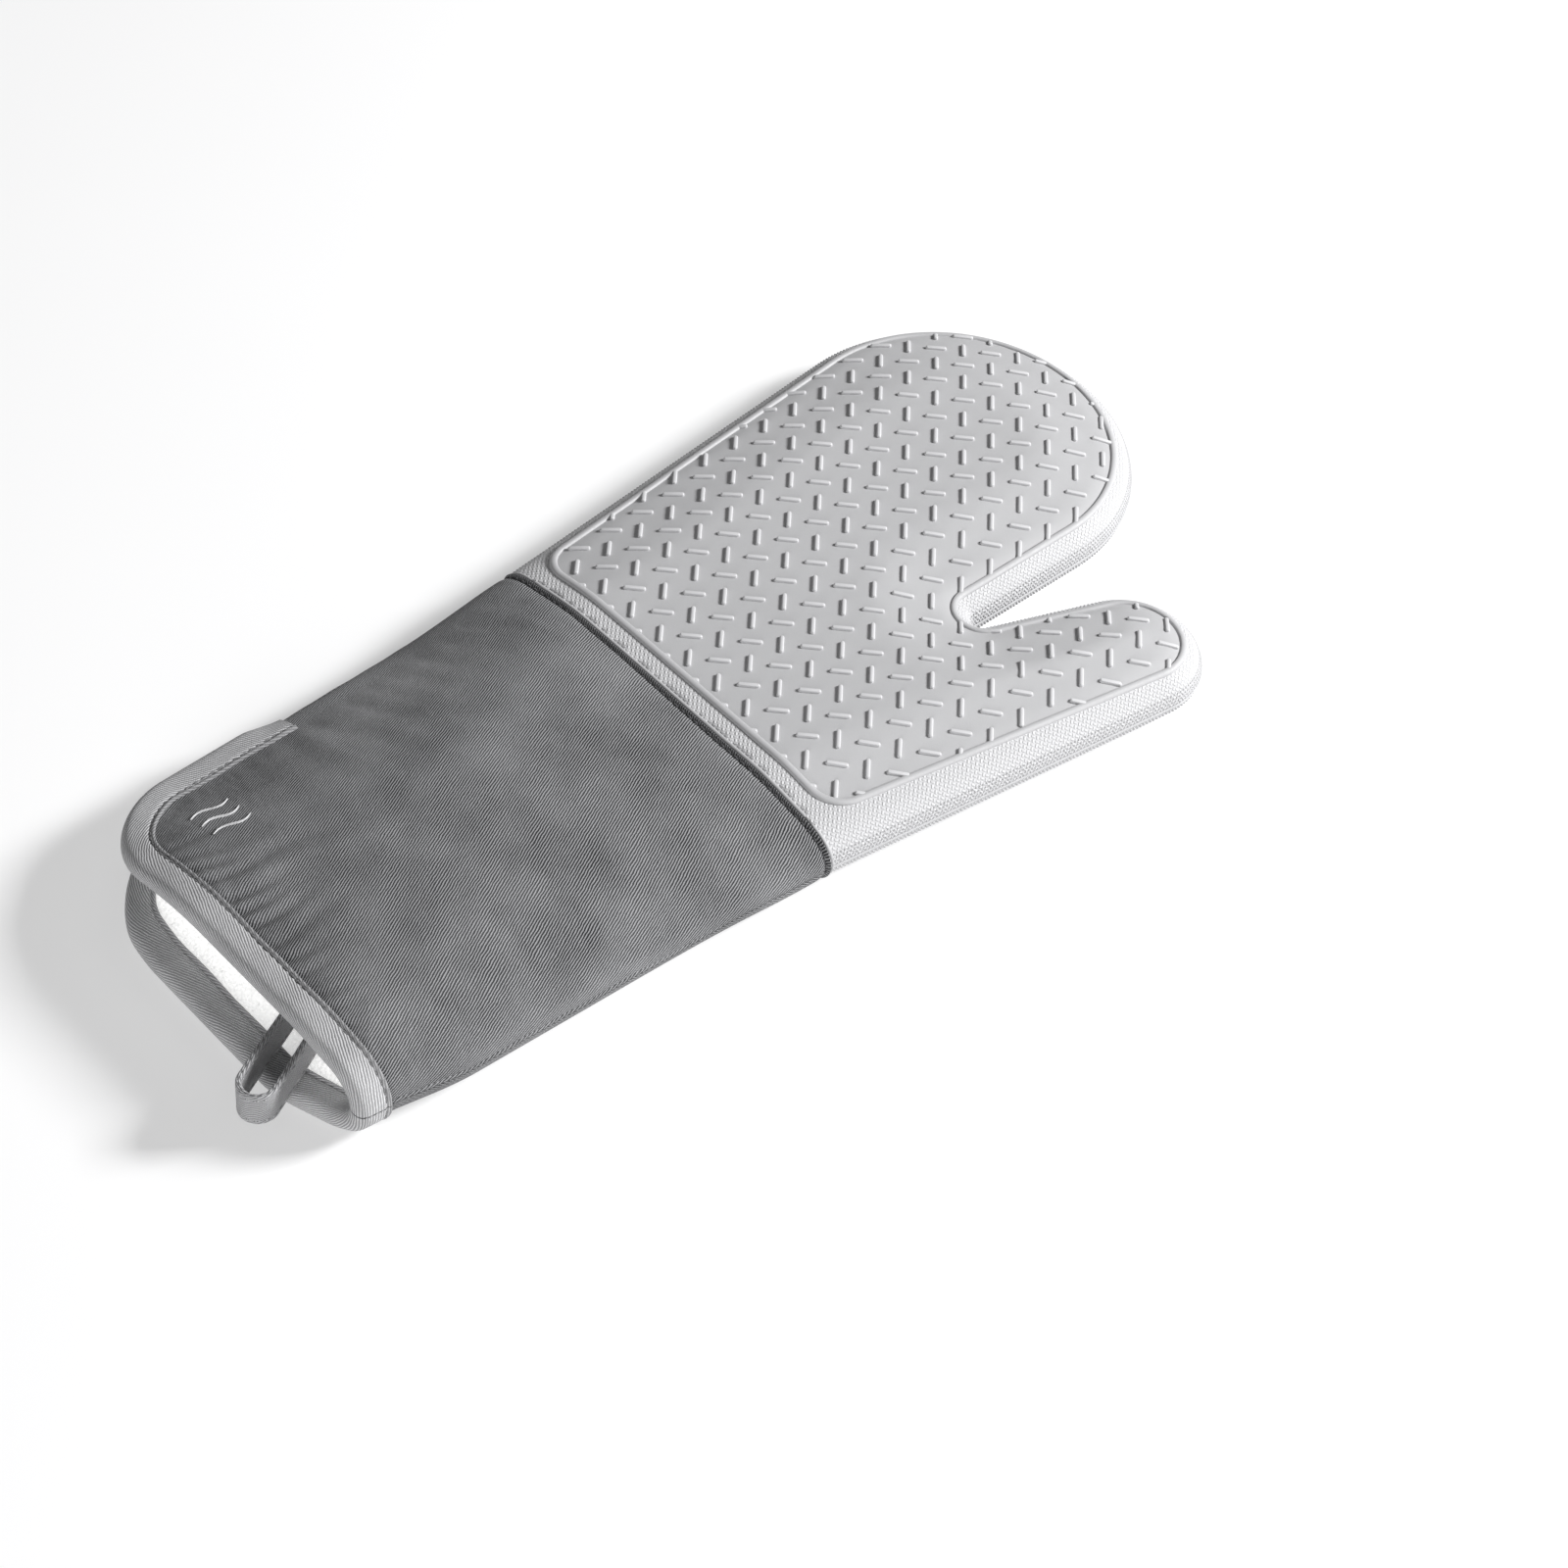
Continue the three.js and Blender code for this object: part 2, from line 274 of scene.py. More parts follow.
# ---------------------------------------------------------------- outlines and heights

def belt(circles, step):
    """Points and outward normals of an outline that runs anticlockwise round circles.

    Each circle is (x, y, radius), and a negative radius is a hollow corner."""
    rounds = np.array(circles, float)
    gap = np.roll(rounds, -1, axis=0) - rounds
    lean = np.arcsin(-gap[:, 2] / np.hypot(gap[:, 0], gap[:, 1]))
    leave = np.arctan2(gap[:, 1], gap[:, 0]) - math.pi / 2 + lean
    arrive = np.roll(leave, 1)
    points, normals = [], []
    for (x, y, r), start, end in zip(rounds, arrive, leave):
        turn = (end - start) % (2 * math.pi) - (2 * math.pi if r < 0 else 0)
        angle = start + turn * np.linspace(0, 1, max(3, math.ceil(abs(turn * r) / step) + 1))
        normal = np.stack([np.cos(angle), np.sin(angle)], -1)
        points.append(np.array([x, y]) + r * normal)
        normals.append(normal)
    path, facing = [], []
    for i, arc in enumerate(points):
        after = points[(i + 1) % len(points)][0]
        steps = max(1, math.ceil(np.linalg.norm(after - arc[-1]) / step))
        share = np.linspace(0, 1, steps + 1)[1:-1, None]
        path += [arc, arc[-1] + (after - arc[-1]) * share]
        facing += [normals[i], np.repeat(normals[i][-1:], len(share), 0)]
    return np.concatenate(path), np.concatenate(facing)


def path_length(points):
    """How far along a path each of its points is."""
    step = np.linalg.norm(np.diff(points, axis=0), axis=1)
    return np.concatenate([[0], np.cumsum(step)])


def points_at(places, length, points):
    """Points of a path at some places along its length."""
    return np.stack([np.interp(places, length, column) for column in points.T], -1)


def hand_path(step, grow=0.0):
    """The open outline of the hand, from the thumb side of the join round to the finger side."""
    circles = [(x, y, r + grow) for x, y, r in SEAM_BELT]
    points, normals = belt(circles, step)
    start = np.argmin(points[:, 0])
    points, normals = np.roll(points, -start, axis=0), np.roll(normals, -start, axis=0)
    inside = np.flatnonzero(points[:, 0] > JOIN_X)
    first, last = inside[0], inside[-1]
    for edge, beyond in ((first - 1, first), (last + 1, last)):
        share = (JOIN_X - points[beyond, 0]) / (points[edge, 0] - points[beyond, 0])
        points[edge] = points[beyond] + share * (points[edge] - points[beyond])
    return points[first - 1 : last + 2], normals[first - 1 : last + 2]


def tree_of(points):
    """A search tree over points in plan or in space."""
    tree = kdtree.KDTree(len(points))
    for i, place in enumerate(points):
        tree.insert((*place, 0)[:3], i)
    tree.balance()
    return tree


seam_tree = tree_of(belt(SEAM_BELT, 0.3)[0])
border_path, border_normals = belt(BORDER_BELT, 0.4)
border_tree = tree_of(border_path)


def seam_distance(places):
    """How far plan positions are from the side seam."""
    return np.array([seam_tree.find((x, y, 0))[2] for x, y in places])


def border_depth(places):
    """How far plan positions are inside the border."""
    nearest = [border_tree.find((x, y, 0))[1] for x, y in places]
    return np.einsum("ij,ij->i", border_path[nearest] - places, border_normals[nearest])


def ease(value):
    """A smooth step from 0 to 1."""
    value = np.clip(value, 0, 1)
    return value * value * (3 - 2 * value)


def dome(depth, half):
    """Height over the side seam at a depth in from it."""
    return half * np.sqrt(np.clip(1 - np.clip(1 - depth / RIM, 0, 1) ** 2, 0, 1))


def swell(x, y):
    """Slow unevenness of padding, about -1 to 1."""
    return (
        np.sin(x / 17 + 1.3 * np.sin(y / 31)) * np.cos(y / 23 + 0.6)
        + 0.6 * np.sin(x / 9.5 + y / 14 + 2.0)
    ) / 1.6


def crown_at(depth):
    """How far a face stands over its edge at a depth in from the side seam."""
    return CROWN * ease((depth - 6) / 30)


def front_face(x, y):
    """Height of the silicone's front face."""
    depth = seam_distance(np.stack([x, y], -1))
    return HAND_SEAM_Z + dome(depth, HAND_HALF) + crown_at(depth) + 0.12 * swell(x, y)


def back_face(x, y):
    """Height of the silicone's back face."""
    return HAND_SEAM_Z - dome(seam_distance(np.stack([x, y], -1)), BACK_HALF)


# ---------------------------------------------------------------- materials

def new_material(name):
    material = bpy.data.materials.new(name)
    material.use_nodes = True
    tree = material.node_tree
    return material, tree, tree.nodes["Principled BSDF"]


def feed(value, tree, socket):
    """Gives a socket its value, or links another socket to it."""
    if isinstance(value, bpy.types.NodeSocket):
        tree.links.new(value, socket)
    else:
        socket.default_value = value


def settle(tree, node, inputs):
    """Gives or links several inputs of a node, by their names or numbers."""
    for key, value in inputs.items():
        feed(value, tree, node.inputs[key])


def add_node(tree, kind, inputs=None, **settings):
    node = tree.nodes.new(kind)
    for key, value in settings.items():
        setattr(node, key, value)
    settle(tree, node, inputs or {})
    return node


def math_node(tree, operation, *values):
    node = add_node(tree, "ShaderNodeMath", operation=operation)
    settle(tree, node, dict(enumerate(values)))
    return node.outputs[0]


def object_place(tree):
    return add_node(tree, "ShaderNodeTexCoord").outputs["Object"]


def noise(tree, where, scale, detail=3.0, roughness=0.55):
    inputs = {"Vector": where, "Scale": scale, "Detail": detail, "Roughness": roughness}
    return add_node(tree, "ShaderNodeTexNoise", inputs).outputs["Fac"]


def ramp(tree, value, low, high, from_low=0.0, from_high=1.0):
    inputs = {"Value": value, "From Min": from_low, "From Max": from_high, "To Min": low, "To Max": high}
    return add_node(tree, "ShaderNodeMapRange", inputs).outputs[0]


def bump(tree, shader, height, distance, strength=1.0, after=None):
    inputs = {"Height": height, "Distance": distance, "Strength": strength}
    if after is not None:
        inputs["Normal"] = after
    node = add_node(tree, "ShaderNodeBump", inputs)
    tree.links.new(node.outputs[0], shader.inputs["Normal"])
    return node.outputs[0]


def grey_mix(tree, value, dark, light):
    """A colour between two greys, (r, g, b) each."""
    node = add_node(tree, "ShaderNodeMix", {0: value}, data_type="RGBA")
    settle(tree, node, {6: (*dark, 1), 7: (*light, 1)})
    return node.outputs[2]


def silicone_greys(tree, value, grey, dark, light):
    """A slightly blue grey that varies between two shares of itself."""
    low, high = dark * grey, light * grey
    return grey_mix(tree, value, (low, low, 1.02 * low), (high, high, 1.02 * high))


def plan_position(tree):
    """The pattern coordinates in millimetres."""
    return add_node(tree, "ShaderNodeUVMap", uv_map="plan").outputs[0]


def lattice_bars(tree, where, pitch, half_length, half_width):
    """Small bars on a lattice turned 45 degrees, lying alternately one way and the other."""
    parts = add_node(tree, "ShaderNodeSeparateXYZ", {"Vector": where})
    x, y = parts.outputs["X"], parts.outputs["Y"]
    scale = 1 / (math.sqrt(2) * pitch)
    u = math_node(tree, "MULTIPLY", math_node(tree, "SUBTRACT", x, y), scale)
    v = math_node(tree, "MULTIPLY", math_node(tree, "ADD", x, y), scale)
    cell_u, cell_v = math_node(tree, "ROUND", u), math_node(tree, "ROUND", v)
    du = math_node(tree, "ABSOLUTE", math_node(tree, "SUBTRACT", u, cell_u))
    dv = math_node(tree, "ABSOLUTE", math_node(tree, "SUBTRACT", v, cell_v))
    odd = math_node(tree, "PINGPONG", math_node(tree, "ADD", cell_u, cell_v), 1.0)
    swap = math_node(tree, "SUBTRACT", du, dv)
    along = math_node(tree, "ADD", dv, math_node(tree, "MULTIPLY", odd, swap))
    across = math_node(tree, "SUBTRACT", du, math_node(tree, "MULTIPLY", odd, swap))
    past = math_node(tree, "MAXIMUM", math_node(tree, "SUBTRACT", along, half_length), 0.0)
    reach = math_node(tree, "SQRT", math_node(
        tree, "ADD", math_node(tree, "MULTIPLY", past, past), math_node(tree, "MULTIPLY", across, across)))
    return ramp(tree, reach, 1.0, 0.0, half_width * 0.35, half_width * 1.5)


def silicone_material(name, grey, nubs=False):
    """Moulded silicone: smooth inside the border, with a fine nub texture outside it, its bars painted
    lighter as a highlight.
    """
    material, tree, shader = new_material(name)
    where = object_place(tree)
    cloud = noise(tree, where, 38.0, 4.0)
    colour = silicone_greys(tree, cloud, grey, 0.96, 1.04)
    dust = noise(tree, where, 900.0, 2.0)
    grain = noise(tree, where, 2600.0, 2.0)
    first = bump(tree, shader, grain, 0.00006, 0.6)
    if nubs:
        bars = lattice_bars(tree, plan_position(tree), RIB_PITCH / NUB_SCALE, 0.24, 0.22)
        bump(tree, shader, bars, 0.0002, 1.0, first)
        # painted highlight: the nubs' bars are coloured lighter than the silicone between them
        colour = silicone_greys(tree, bars, grey, 0.93, 1.08)
    settle(tree, shader, {
        "Base Color": colour,
        "Roughness": ramp(tree, dust, 0.50, 0.64, 0.35, 0.65),
        "Specular IOR Level": 0.42,
        "Subsurface Weight": 0.06,
        "Subsurface Radius": (0.0012, 0.0012, 0.0012),
        "Sheen Weight": 0.08,
    })
    return material


def twill_material(name, dark, light, pitch, angle, depth, margin=0):
    """Cotton twill: raised diagonal lines broken by the crossing threads.

    A tape can have a margin of painted shade, darker where its edge tucks down into the panel at its
    stitches."""
    material, tree, shader = new_material(name)
    where = plan_position(tree)
    turned = add_node(tree, "ShaderNodeVectorRotate", {"Vector": where, "Angle": math.radians(angle)},
                      rotation_type="Z_AXIS").outputs[0]
    parts = add_node(tree, "ShaderNodeSeparateXYZ", {"Vector": turned})
    along, across = parts.outputs["X"], parts.outputs["Y"]
    drift = ramp(tree, noise(tree, where, 0.35, 3.0), -0.35, 0.35)
    line = math_node(tree, "MULTIPLY", math_node(tree, "ADD", across, drift), 2 * math.pi / pitch)
    wale = ramp(tree, math_node(tree, "SINE", line), 0.0, 1.0, -0.65, 0.65)
    step = math_node(tree, "MULTIPLY", along, 2 * math.pi / (pitch * 0.9))
    thread = math_node(tree, "SINE", math_node(tree, "ADD", step, math_node(tree, "MULTIPLY", line, 0.5)))
    weave = math_node(tree, "MULTIPLY", wale, ramp(tree, thread, 0.8, 1.0, -1.0, 1.0))
    fleck = noise(tree, where, 2.4, 4.0, 0.7)
    cloud = noise(tree, where, 0.03, 4.0)
    tone = math_node(tree, "ADD", math_node(tree, "MULTIPLY", weave, 0.75),
                     math_node(tree, "MULTIPLY", fleck, 0.25))
    tone = math_node(tree, "ADD", tone, ramp(tree, cloud, -0.14, 0.14, 0.3, 0.7))
    if margin:
        # painted shade: the tape is darkened along its inner edge, where it tucks into the panel
        section = add_node(tree, "ShaderNodeSeparateXYZ", {"Vector": where}).outputs["Y"]
        rolled = ramp(tree, section, 0.4, 1.0, 0.8 * margin, margin)
        tone = math_node(tree, "MULTIPLY", tone, rolled)
    first = bump(tree, shader, weave, depth, 1.0)
    bump(tree, shader, fleck, depth * 0.5, 0.5, first)
    settle(tree, shader, {
        "Base Color": grey_mix(tree, tone, dark, light),
        "Roughness": ramp(tree, weave, 0.98, 0.8),
        "Specular IOR Level": 0.2,
        "Sheen Weight": 0.08,
        "Sheen Roughness": 0.5,
    })
    return material


def terry_material(name, tint):
    """Looped white cotton with an even glow of painted light, which keeps it bright where it lies in shade.
    """
    material, tree, shader = new_material(name)
    where = object_place(tree)
    loops = add_node(tree, "ShaderNodeTexVoronoi", {"Vector": where, "Scale": 900.0}).outputs["Distance"]
    fuzz = noise(tree, where, 1500.0, 4.0)
    shade = math_node(tree, "ADD", math_node(tree, "MULTIPLY", loops, 0.6),
                      math_node(tree, "MULTIPLY", fuzz, 0.4))
    first = bump(tree, shader, math_node(tree, "SUBTRACT", 1.0, loops), 0.0006, 0.8)
    bump(tree, shader, fuzz, 0.0003, 0.6, first)
    settle(tree, shader, {
        "Base Color": grey_mix(tree, shade, tint, tuple(0.8 * c for c in tint)),
        "Roughness": ramp(tree, fuzz, 0.9, 1.0),
        "Specular IOR Level": 0.1,
        "Sheen Weight": 0.5,
        # painted light: the cotton glows so that it stays bright in shade
        "Emission Color": (1, 1, 1, 1),
        "Emission Strength": 0.46,
    })
    return material


def thread_material(name, dark, light):
    """Twisted sewing thread."""
    material, tree, shader = new_material(name)
    inputs = {"Vector": object_place(tree), "Scale": 900.0, "Distortion": 2.0}
    twist = add_node(tree, "ShaderNodeTexWave", inputs, bands_direction="DIAGONAL").outputs["Fac"]
    bump(tree, shader, twist, 0.0001, 0.7)
    settle(tree, shader, {
        "Base Color": grey_mix(tree, twist, dark, light),
        "Roughness": ramp(tree, twist, 0.8, 0.6),
        "Sheen Weight": 0.3,
    })
    return material


SILICONE = silicone_material("silicone_smooth", 0.38)
# The nub-textured walls and band are the same silicone as the face, painted lighter: painted light for the
# brightness the side walls show facing the lamps and the pale floor.
SILICONE_NUBS_PAINTED_LIGHT = silicone_material("silicone_nubs_painted_light", 0.46, nubs=True)
# The ribs are the same silicone as the face, painted lighter: a painted highlight for the light their raised
# tops catch.
SILICONE_RIBS_PAINTED_LIGHT = silicone_material("silicone_ribs_painted_light", 0.50)
TWILL = twill_material(
    "twill_grey", (0.004, 0.0045, 0.006), (0.35, 0.352, 0.362), pitch=0.78, angle=-25.0, depth=0.00028)
TAPE_WEAVE = {"pitch": 0.75, "angle": -20.0, "depth": 0.0002}
TAPE = twill_material("twill_tape_pale", (0.12, 0.12, 0.125), (0.50, 0.50, 0.51), **TAPE_WEAVE)
# The binding's inner edge carries 2.1 mm of painted shade.
BINDING_TAPE = twill_material(
    "twill_binding_pale", (0.18, 0.18, 0.186), (0.60, 0.60, 0.61), **TAPE_WEAVE, margin=2.1)
TERRY = terry_material("terry_white", (0.93, 0.93, 0.92))
WADDING = terry_material("wadding_white", (0.9, 0.9, 0.89))
DARK_THREAD = thread_material("thread_dark", (0.015, 0.015, 0.018), (0.05, 0.05, 0.055))
PALE_THREAD = thread_material("thread_pale", (0.07, 0.07, 0.075), (0.2, 0.2, 0.205))
MARK_THREAD = thread_material("thread_mark", (0.5, 0.5, 0.51), (0.78, 0.78, 0.79))


# ---------------------------------------------------------------- riding on the frame

SIDES = (("front", 1), ("back", -1))


def stands_for(piece, node, body="mitt"):
    """The piece moves with a body and is shown in place of its CAD node."""
    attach(piece, body)
    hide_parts(node)


# ---------------------------------------------------------------- silicone hand

WALL_DEPTH = 5.4  # the rounded wall is made as strips down to this depth, the rest in plan
WALL_STEPS = 12


def wall_strip(half, sign):
    """Points and pattern coordinates from the side seam up to the face, all round the hand."""
    base, normal = hand_path(0.8, -WALL_DEPTH)
    start = 1 - WALL_DEPTH / RIM
    angle = np.linspace(0, math.acos(start), WALL_STEPS + 1)
    depth = RIM * (1 - np.cos(angle))
    height = half * np.sin(angle)
    run = np.hypot(np.diff(depth), np.diff(height))
    unrolled = np.concatenate([np.cumsum(run[::-1])[::-1], [0]])
    out = (WALL_DEPTH - depth)[None, :, None]
    plan = base[:, None] + normal[:, None] * out
    co = at_height(plan, HAND_SEAM_Z + sign * height)
    return co, base[:, None] + normal[:, None] * unrolled[None, :, None]


def plan_grid(outline, first, spacing):
    """Plan points on a square grid, from a little inside an outline's lowest corner."""
    axes = [np.arange(low + first, high, spacing) for low, high in zip(outline.min(0), outline.max(0))]
    return np.stack(np.meshgrid(*axes, indexing="ij"), -1).reshape(-1, 2)


def triangles(outline, loop, grid):
    """Triangles in plan inside an outline, with a second loop as edges inside it."""
    n, m = len(outline), len(loop)
    verts = [Vector(p) for p in np.concatenate([outline, loop, grid])]
    edges = [(n + i, n + (i + 1) % m) for i in range(m)]
    made = delaunay_2d_cdt(verts, edges, [list(range(n))], 1, 1e-5)
    return np.array([tuple(v) for v in made[0]]), [list(face) for face in made[2]]


def face_mesh(outline):
    """Triangles of one face in plan, with an edge all along the middle of the border."""
    spacing = 2.2
    margin = spacing * 0.4
    grid = plan_grid(outline, spacing / 2, spacing)
    grid = grid + rng.uniform(-0.1, 0.1, grid.shape) * spacing
    grid = grid[grid[:, 0] > outline[:, 0].min() + spacing * 0.5]
    grid = grid[seam_distance(grid) > WALL_DEPTH + margin]
    grid = grid[np.abs(border_depth(grid)) > margin]
    ends = np.roll(outline, -1, 0)
    counts = np.ceil(np.linalg.norm(ends - outline, axis=1) / spacing).clip(1).astype(int)
    outline = np.concatenate([
        start + (end - start) * (np.arange(count)[:, None] / count)
        for start, end, count in zip(outline, ends, counts)])
    return triangles(outline, belt(BORDER_BELT, 1.0)[0], grid)


def silicone_sheet(face, half, sign):
    """The moulded skin of one face: nub texture outside the border, smooth inside it."""
    shape = Shape()
    wall, unrolled = wall_strip(half, sign)
    ends = face(wall[:, -1, 0], wall[:, -1, 1]) - wall[:, -1, 2]
    lift = np.linspace(0, 1, WALL_STEPS + 1) ** 2
    wall[..., 2] += ends[:, None] * lift[None]
    shape.sheet(wall, unrolled, 1, flip=sign < 0)
    places, faces = face_mesh(wall[:, -1, :2])
    co = at_height(places, face(*places.T))
    middle = places[np.array(faces)].mean(1)
    smooth = border_depth(middle) > 0
    for slot, chosen in ((0, smooth), (1, ~smooth)):
        part = [f if sign > 0 else f[::-1] for f, c in zip(faces, chosen) if c]
        shape.add(co, part, places, slot)
    return shape


def half_round(points, normals, tangents, half_width, height):
    """A half-round bead along a path in space, its rims sunk a little into what it lies on."""
    angle = np.linspace(0, math.pi, 11)
    rise = height * np.sin(angle) ** 0.8 - 0.25 * (np.abs(np.cos(angle)) > 0.99)
    return rings_round(points, np.cross(normals, tangents), normals, half_width * np.cos(angle), rise)


def on_face(path, face, sign):
    """Points, surface normals and tangents of a closed plan path laid on a face."""
    small = 0.4
    x, y = path.T
    slope_x = (face(x + small, y) - face(x - small, y)) / (2 * small)
    slope_y = (face(x, y + small) - face(x, y - small)) / (2 * small)
    normal = np.stack([-slope_x, -slope_y, np.ones(len(path))], -1) * sign
    normal /= np.linalg.norm(normal, axis=1, keepdims=True)
    points = at_height(path, face(x, y))
    tangent = np.roll(points, -1, 0) - np.roll(points, 1, 0)
    tangent /= np.linalg.norm(tangent, axis=1, keepdims=True)
    return points, normal, tangent


def add_border(shape, face, sign):
    """The raised line round the ribbed field."""
    path = belt(BORDER_BELT, 1.2)[0]
    keep = np.linalg.norm(np.roll(path, -1, 0) - path, axis=1) > 0.05
    points, normal, tangent = on_face(path[keep], face, sign)
    bead = half_round(points, normal, tangent, BORDER_HALF_WIDTH, BORDER_HEIGHT)
    shape.sheet(np.concatenate([bead, bead[:1]]))


def rib_places():
    """Centre and direction of each rib of a lattice that covers the hand."""
    root = math.sqrt(0.5)
    pitch = RIB_PITCH * root
    reach = int(260 / pitch)
    for row in range(-reach, reach):
        for column in range(-reach, reach):
            if (row + column) % 2 == 0:
                centre = np.array([RIB_ORIGIN[0] + column * pitch, RIB_ORIGIN[1] + row * pitch])
                yield centre, np.array([root, root if row % 2 == 0 else -root])


def rib(first, last, way, face, sign):
    """Rings of one rib between two plan places: flat sides, a rounded top and round ends."""
    half = np.linalg.norm(last - first) / 2
    angle = np.linspace(-math.pi / 2, 0, 5)
    tail = RIB_HALF_WIDTH * np.sin(angle)
    along = np.concatenate([tail - half, -tail[::-1] + half])
    width = np.concatenate([np.cos(angle), np.cos(angle)[::-1]]) * RIB_HALF_WIDTH
    width = np.maximum(width, 0.02)
    turn = np.linspace(0, math.pi, 11)
    out = np.sign(np.cos(turn)) * np.abs(np.cos(turn)) ** 0.5
    spine = (first + last) / 2 + way * along[:, None]
    plan = spine[:, None] + np.array([-way[1], way[0]]) * (width[:, None] * out)[..., None]
    rise = RIB_HEIGHT * np.sin(turn) ** 0.5 * (width / RIB_HALF_WIDTH)[:, None] ** 0.4
    return at_height(plan, face(*spine.T)[:, None] + sign * (rise - SUNK))


def add_ribs(shape, face, sign):
    """The lattice of ribs, cut short where they meet the border."""
    straight = RIB_LENGTH / 2 - RIB_HALF_WIDTH
    share = np.linspace(-1, 1, 29)
    spots = list(rib_places())
    for (centre, way), inside in zip(spots, border_depth(np.array([c for c, _ in spots]))):
        if inside < -RIB_LENGTH / 2:
            continue
        line = centre + way * (share * straight)[:, None]
        fits = border_depth(line) > 0.2
        if inside < RIB_LENGTH and not fits.all():
            if fits.sum() < 5:
                continue
            line = line[fits]
        shape.sheet(rib(line[0], line[-1], way, face, sign), slot=2, flip=sign < 0)


def add_wrist_edge(shape, face, half, sign):
    """The smooth bead that ends the silicone on the cuff."""
    lean = RIM * (1 - np.cos(np.linspace(0, math.pi / 2, 15)))
    left, right = WRIST_THUMB_Y + lean, WRIST_FINGER_Y - lean[::-1]
    y = np.concatenate([left, np.linspace(left[-1], right[0], 62)[1:-1], right])
    x = np.full_like(y, JOIN_X + 0.25)
    depth = np.minimum(y - WRIST_THUMB_Y, WRIST_FINGER_Y - y)
    z = np.where(depth < RIM, HAND_SEAM_Z + sign * dome(depth, half), face(x, y))
    section = np.stack([x, y, z], -1)
    tangent = np.gradient(section, axis=0)
    tangent /= np.linalg.norm(tangent, axis=1, keepdims=True)
    ahead = np.array([1.0, 0, 0])
    outward = np.cross(ahead, tangent) * sign
    turn = circle(14)
    rings = rings_round(section, outward, ahead, 0.7 * np.sin(turn) - 0.44, 0.72 * np.cos(turn) + 0.15)
    shape.tube(rings, flip=sign < 0)


def add_side_nubs(shape, half, sign):
    """Rows of small bumps along the wall next to the side seam, seen in profile."""
    turn = circle(6)
    size, lift = np.array([[1.0], [0.85], [0.45]]), np.array([[-0.15], [0.16], [0.3]])
    wide, tall = 0.46 * size * np.cos(turn), 0.3 * size * np.sin(turn)
    for row, height in enumerate(NUB_ROWS):
        depth = RIM * (1 - math.sqrt(1 - (height / half) ** 2))
        path, normal = hand_path(NUB_PITCH, -depth)
        length = path_length(path)
        at = np.arange((0.5 + 0.5 * (row % 2)) * NUB_PITCH, length[-1], NUB_PITCH)
        for (x, y), (nx, ny) in zip(points_at(at, length, path), points_at(at, length, normal)):
            centre = np.array([x, y, HAND_SEAM_Z + sign * height]) + np.array([nx, ny, 0.0]) * lift
            shape.tube(rings_round(centre, np.array([-ny, nx, 0.0]), UP, wide, tall))


def silicone_half(name, sign):
    """One moulded half shell with its border, ribs, wrist edge and side nubs."""
    face, half = (front_face, HAND_HALF) if sign > 0 else (back_face, BACK_HALF)
    skin = silicone_sheet(face, half, sign).object(name + "_skin", [SILICONE, SILICONE_NUBS_PAINTED_LIGHT])
    solid_of(skin, SILICONE_WALL)
    trim = Shape()
    add_border(trim, face, sign)
    add_ribs(trim, face, sign)
    add_wrist_edge(trim, face, half, sign)
    add_side_nubs(trim, half, sign)
    detail = trim.object(name + "_trim", [SILICONE, SILICONE_NUBS_PAINTED_LIGHT, SILICONE_RIBS_PAINTED_LIGHT], 60)
    return joined(name, [skin, detail])


def edge_ring(path, normal, half_width, half_height, shift, steps):
    """Rings of an oval cord that runs round the hand at the seam's height."""
    angle = circle(steps)
    across, rise = half_width * np.cos(angle) + shift, half_height * np.sin(angle)
    return rings_round(at_height(path, HAND_SEAM_Z), at_height(normal, 0.0), UP, across, rise)


def parting_bead():
    """The fine raised line where the two moulded halves are bonded."""
    rings = edge_ring(*hand_path(1.0), half_width=0.55, half_height=0.42, shift=-0.2, steps=12)
    return tube_piece("silicone_parting_bead", SILICONE, rings, flip=True)


for side, sign in SIDES:
    stands_for(silicone_half("silicone_" + side, sign), "silicone_hand_" + side)
stands_for(parting_bead(), "silicone_edge_bond")


# ---------------------------------------------------------------- cuff

SIM_ROWS, SIM_COLUMNS, SIM_FRAMES = 120, 100, 26
SIM_SCALE = 10.0  # the cloth is simulated ten times as large as it is
SIM_SLACK = 0.11  # how much longer than its place the cloth is cut, by the mouth
MOST_LIFT = 4.0  # how far the simulated cloth may stand off its plain shape
FRONT_EDGE, BACK_EDGE = 0.46, 0.95  # how flat each panel's edge stays along the vent
DROOP = 56.0  # how far in from the vent's edge each panel turns down to it
SIDE_SAG = 0.3  # how far the front panel sinks along the finger side
SOFT_RIM = 34.0  # the front panel turns down this slowly to its finger side
MOST_SAG = 1.1  # the twill can sink this far into its wadding
PADDING = 5.6  # how far the wadding fills out the middle of the front panel
THUMB_DRAW = 4.0  # both panels narrow towards the mouth's sewn corner
BACK_BOW, BACK_DRAW = 8.0, 7.0  # the back panel's mouth edge bows out and its corner is drawn in
STITCH_X = JOIN_X - 1.95  # the row of stitches that joins twill and silicone
TWILL_INSET, TWILL_THICKNESS = 1.4, 0.9
HEM = 2.6  # how far the layers stay inside the bound edge
HAND_LAYER_EDGE = 0.35  # height of the hand's inner layers at their edge


def seam_height(x):
    """Height of the cuff's side seams, which rises towards the open mouth."""
    share = np.clip((JOIN_X - x) / CUFF_LENGTH, 0, 2)
    return HAND_HALF + (MOUTH_HALF - HAND_HALF) * share


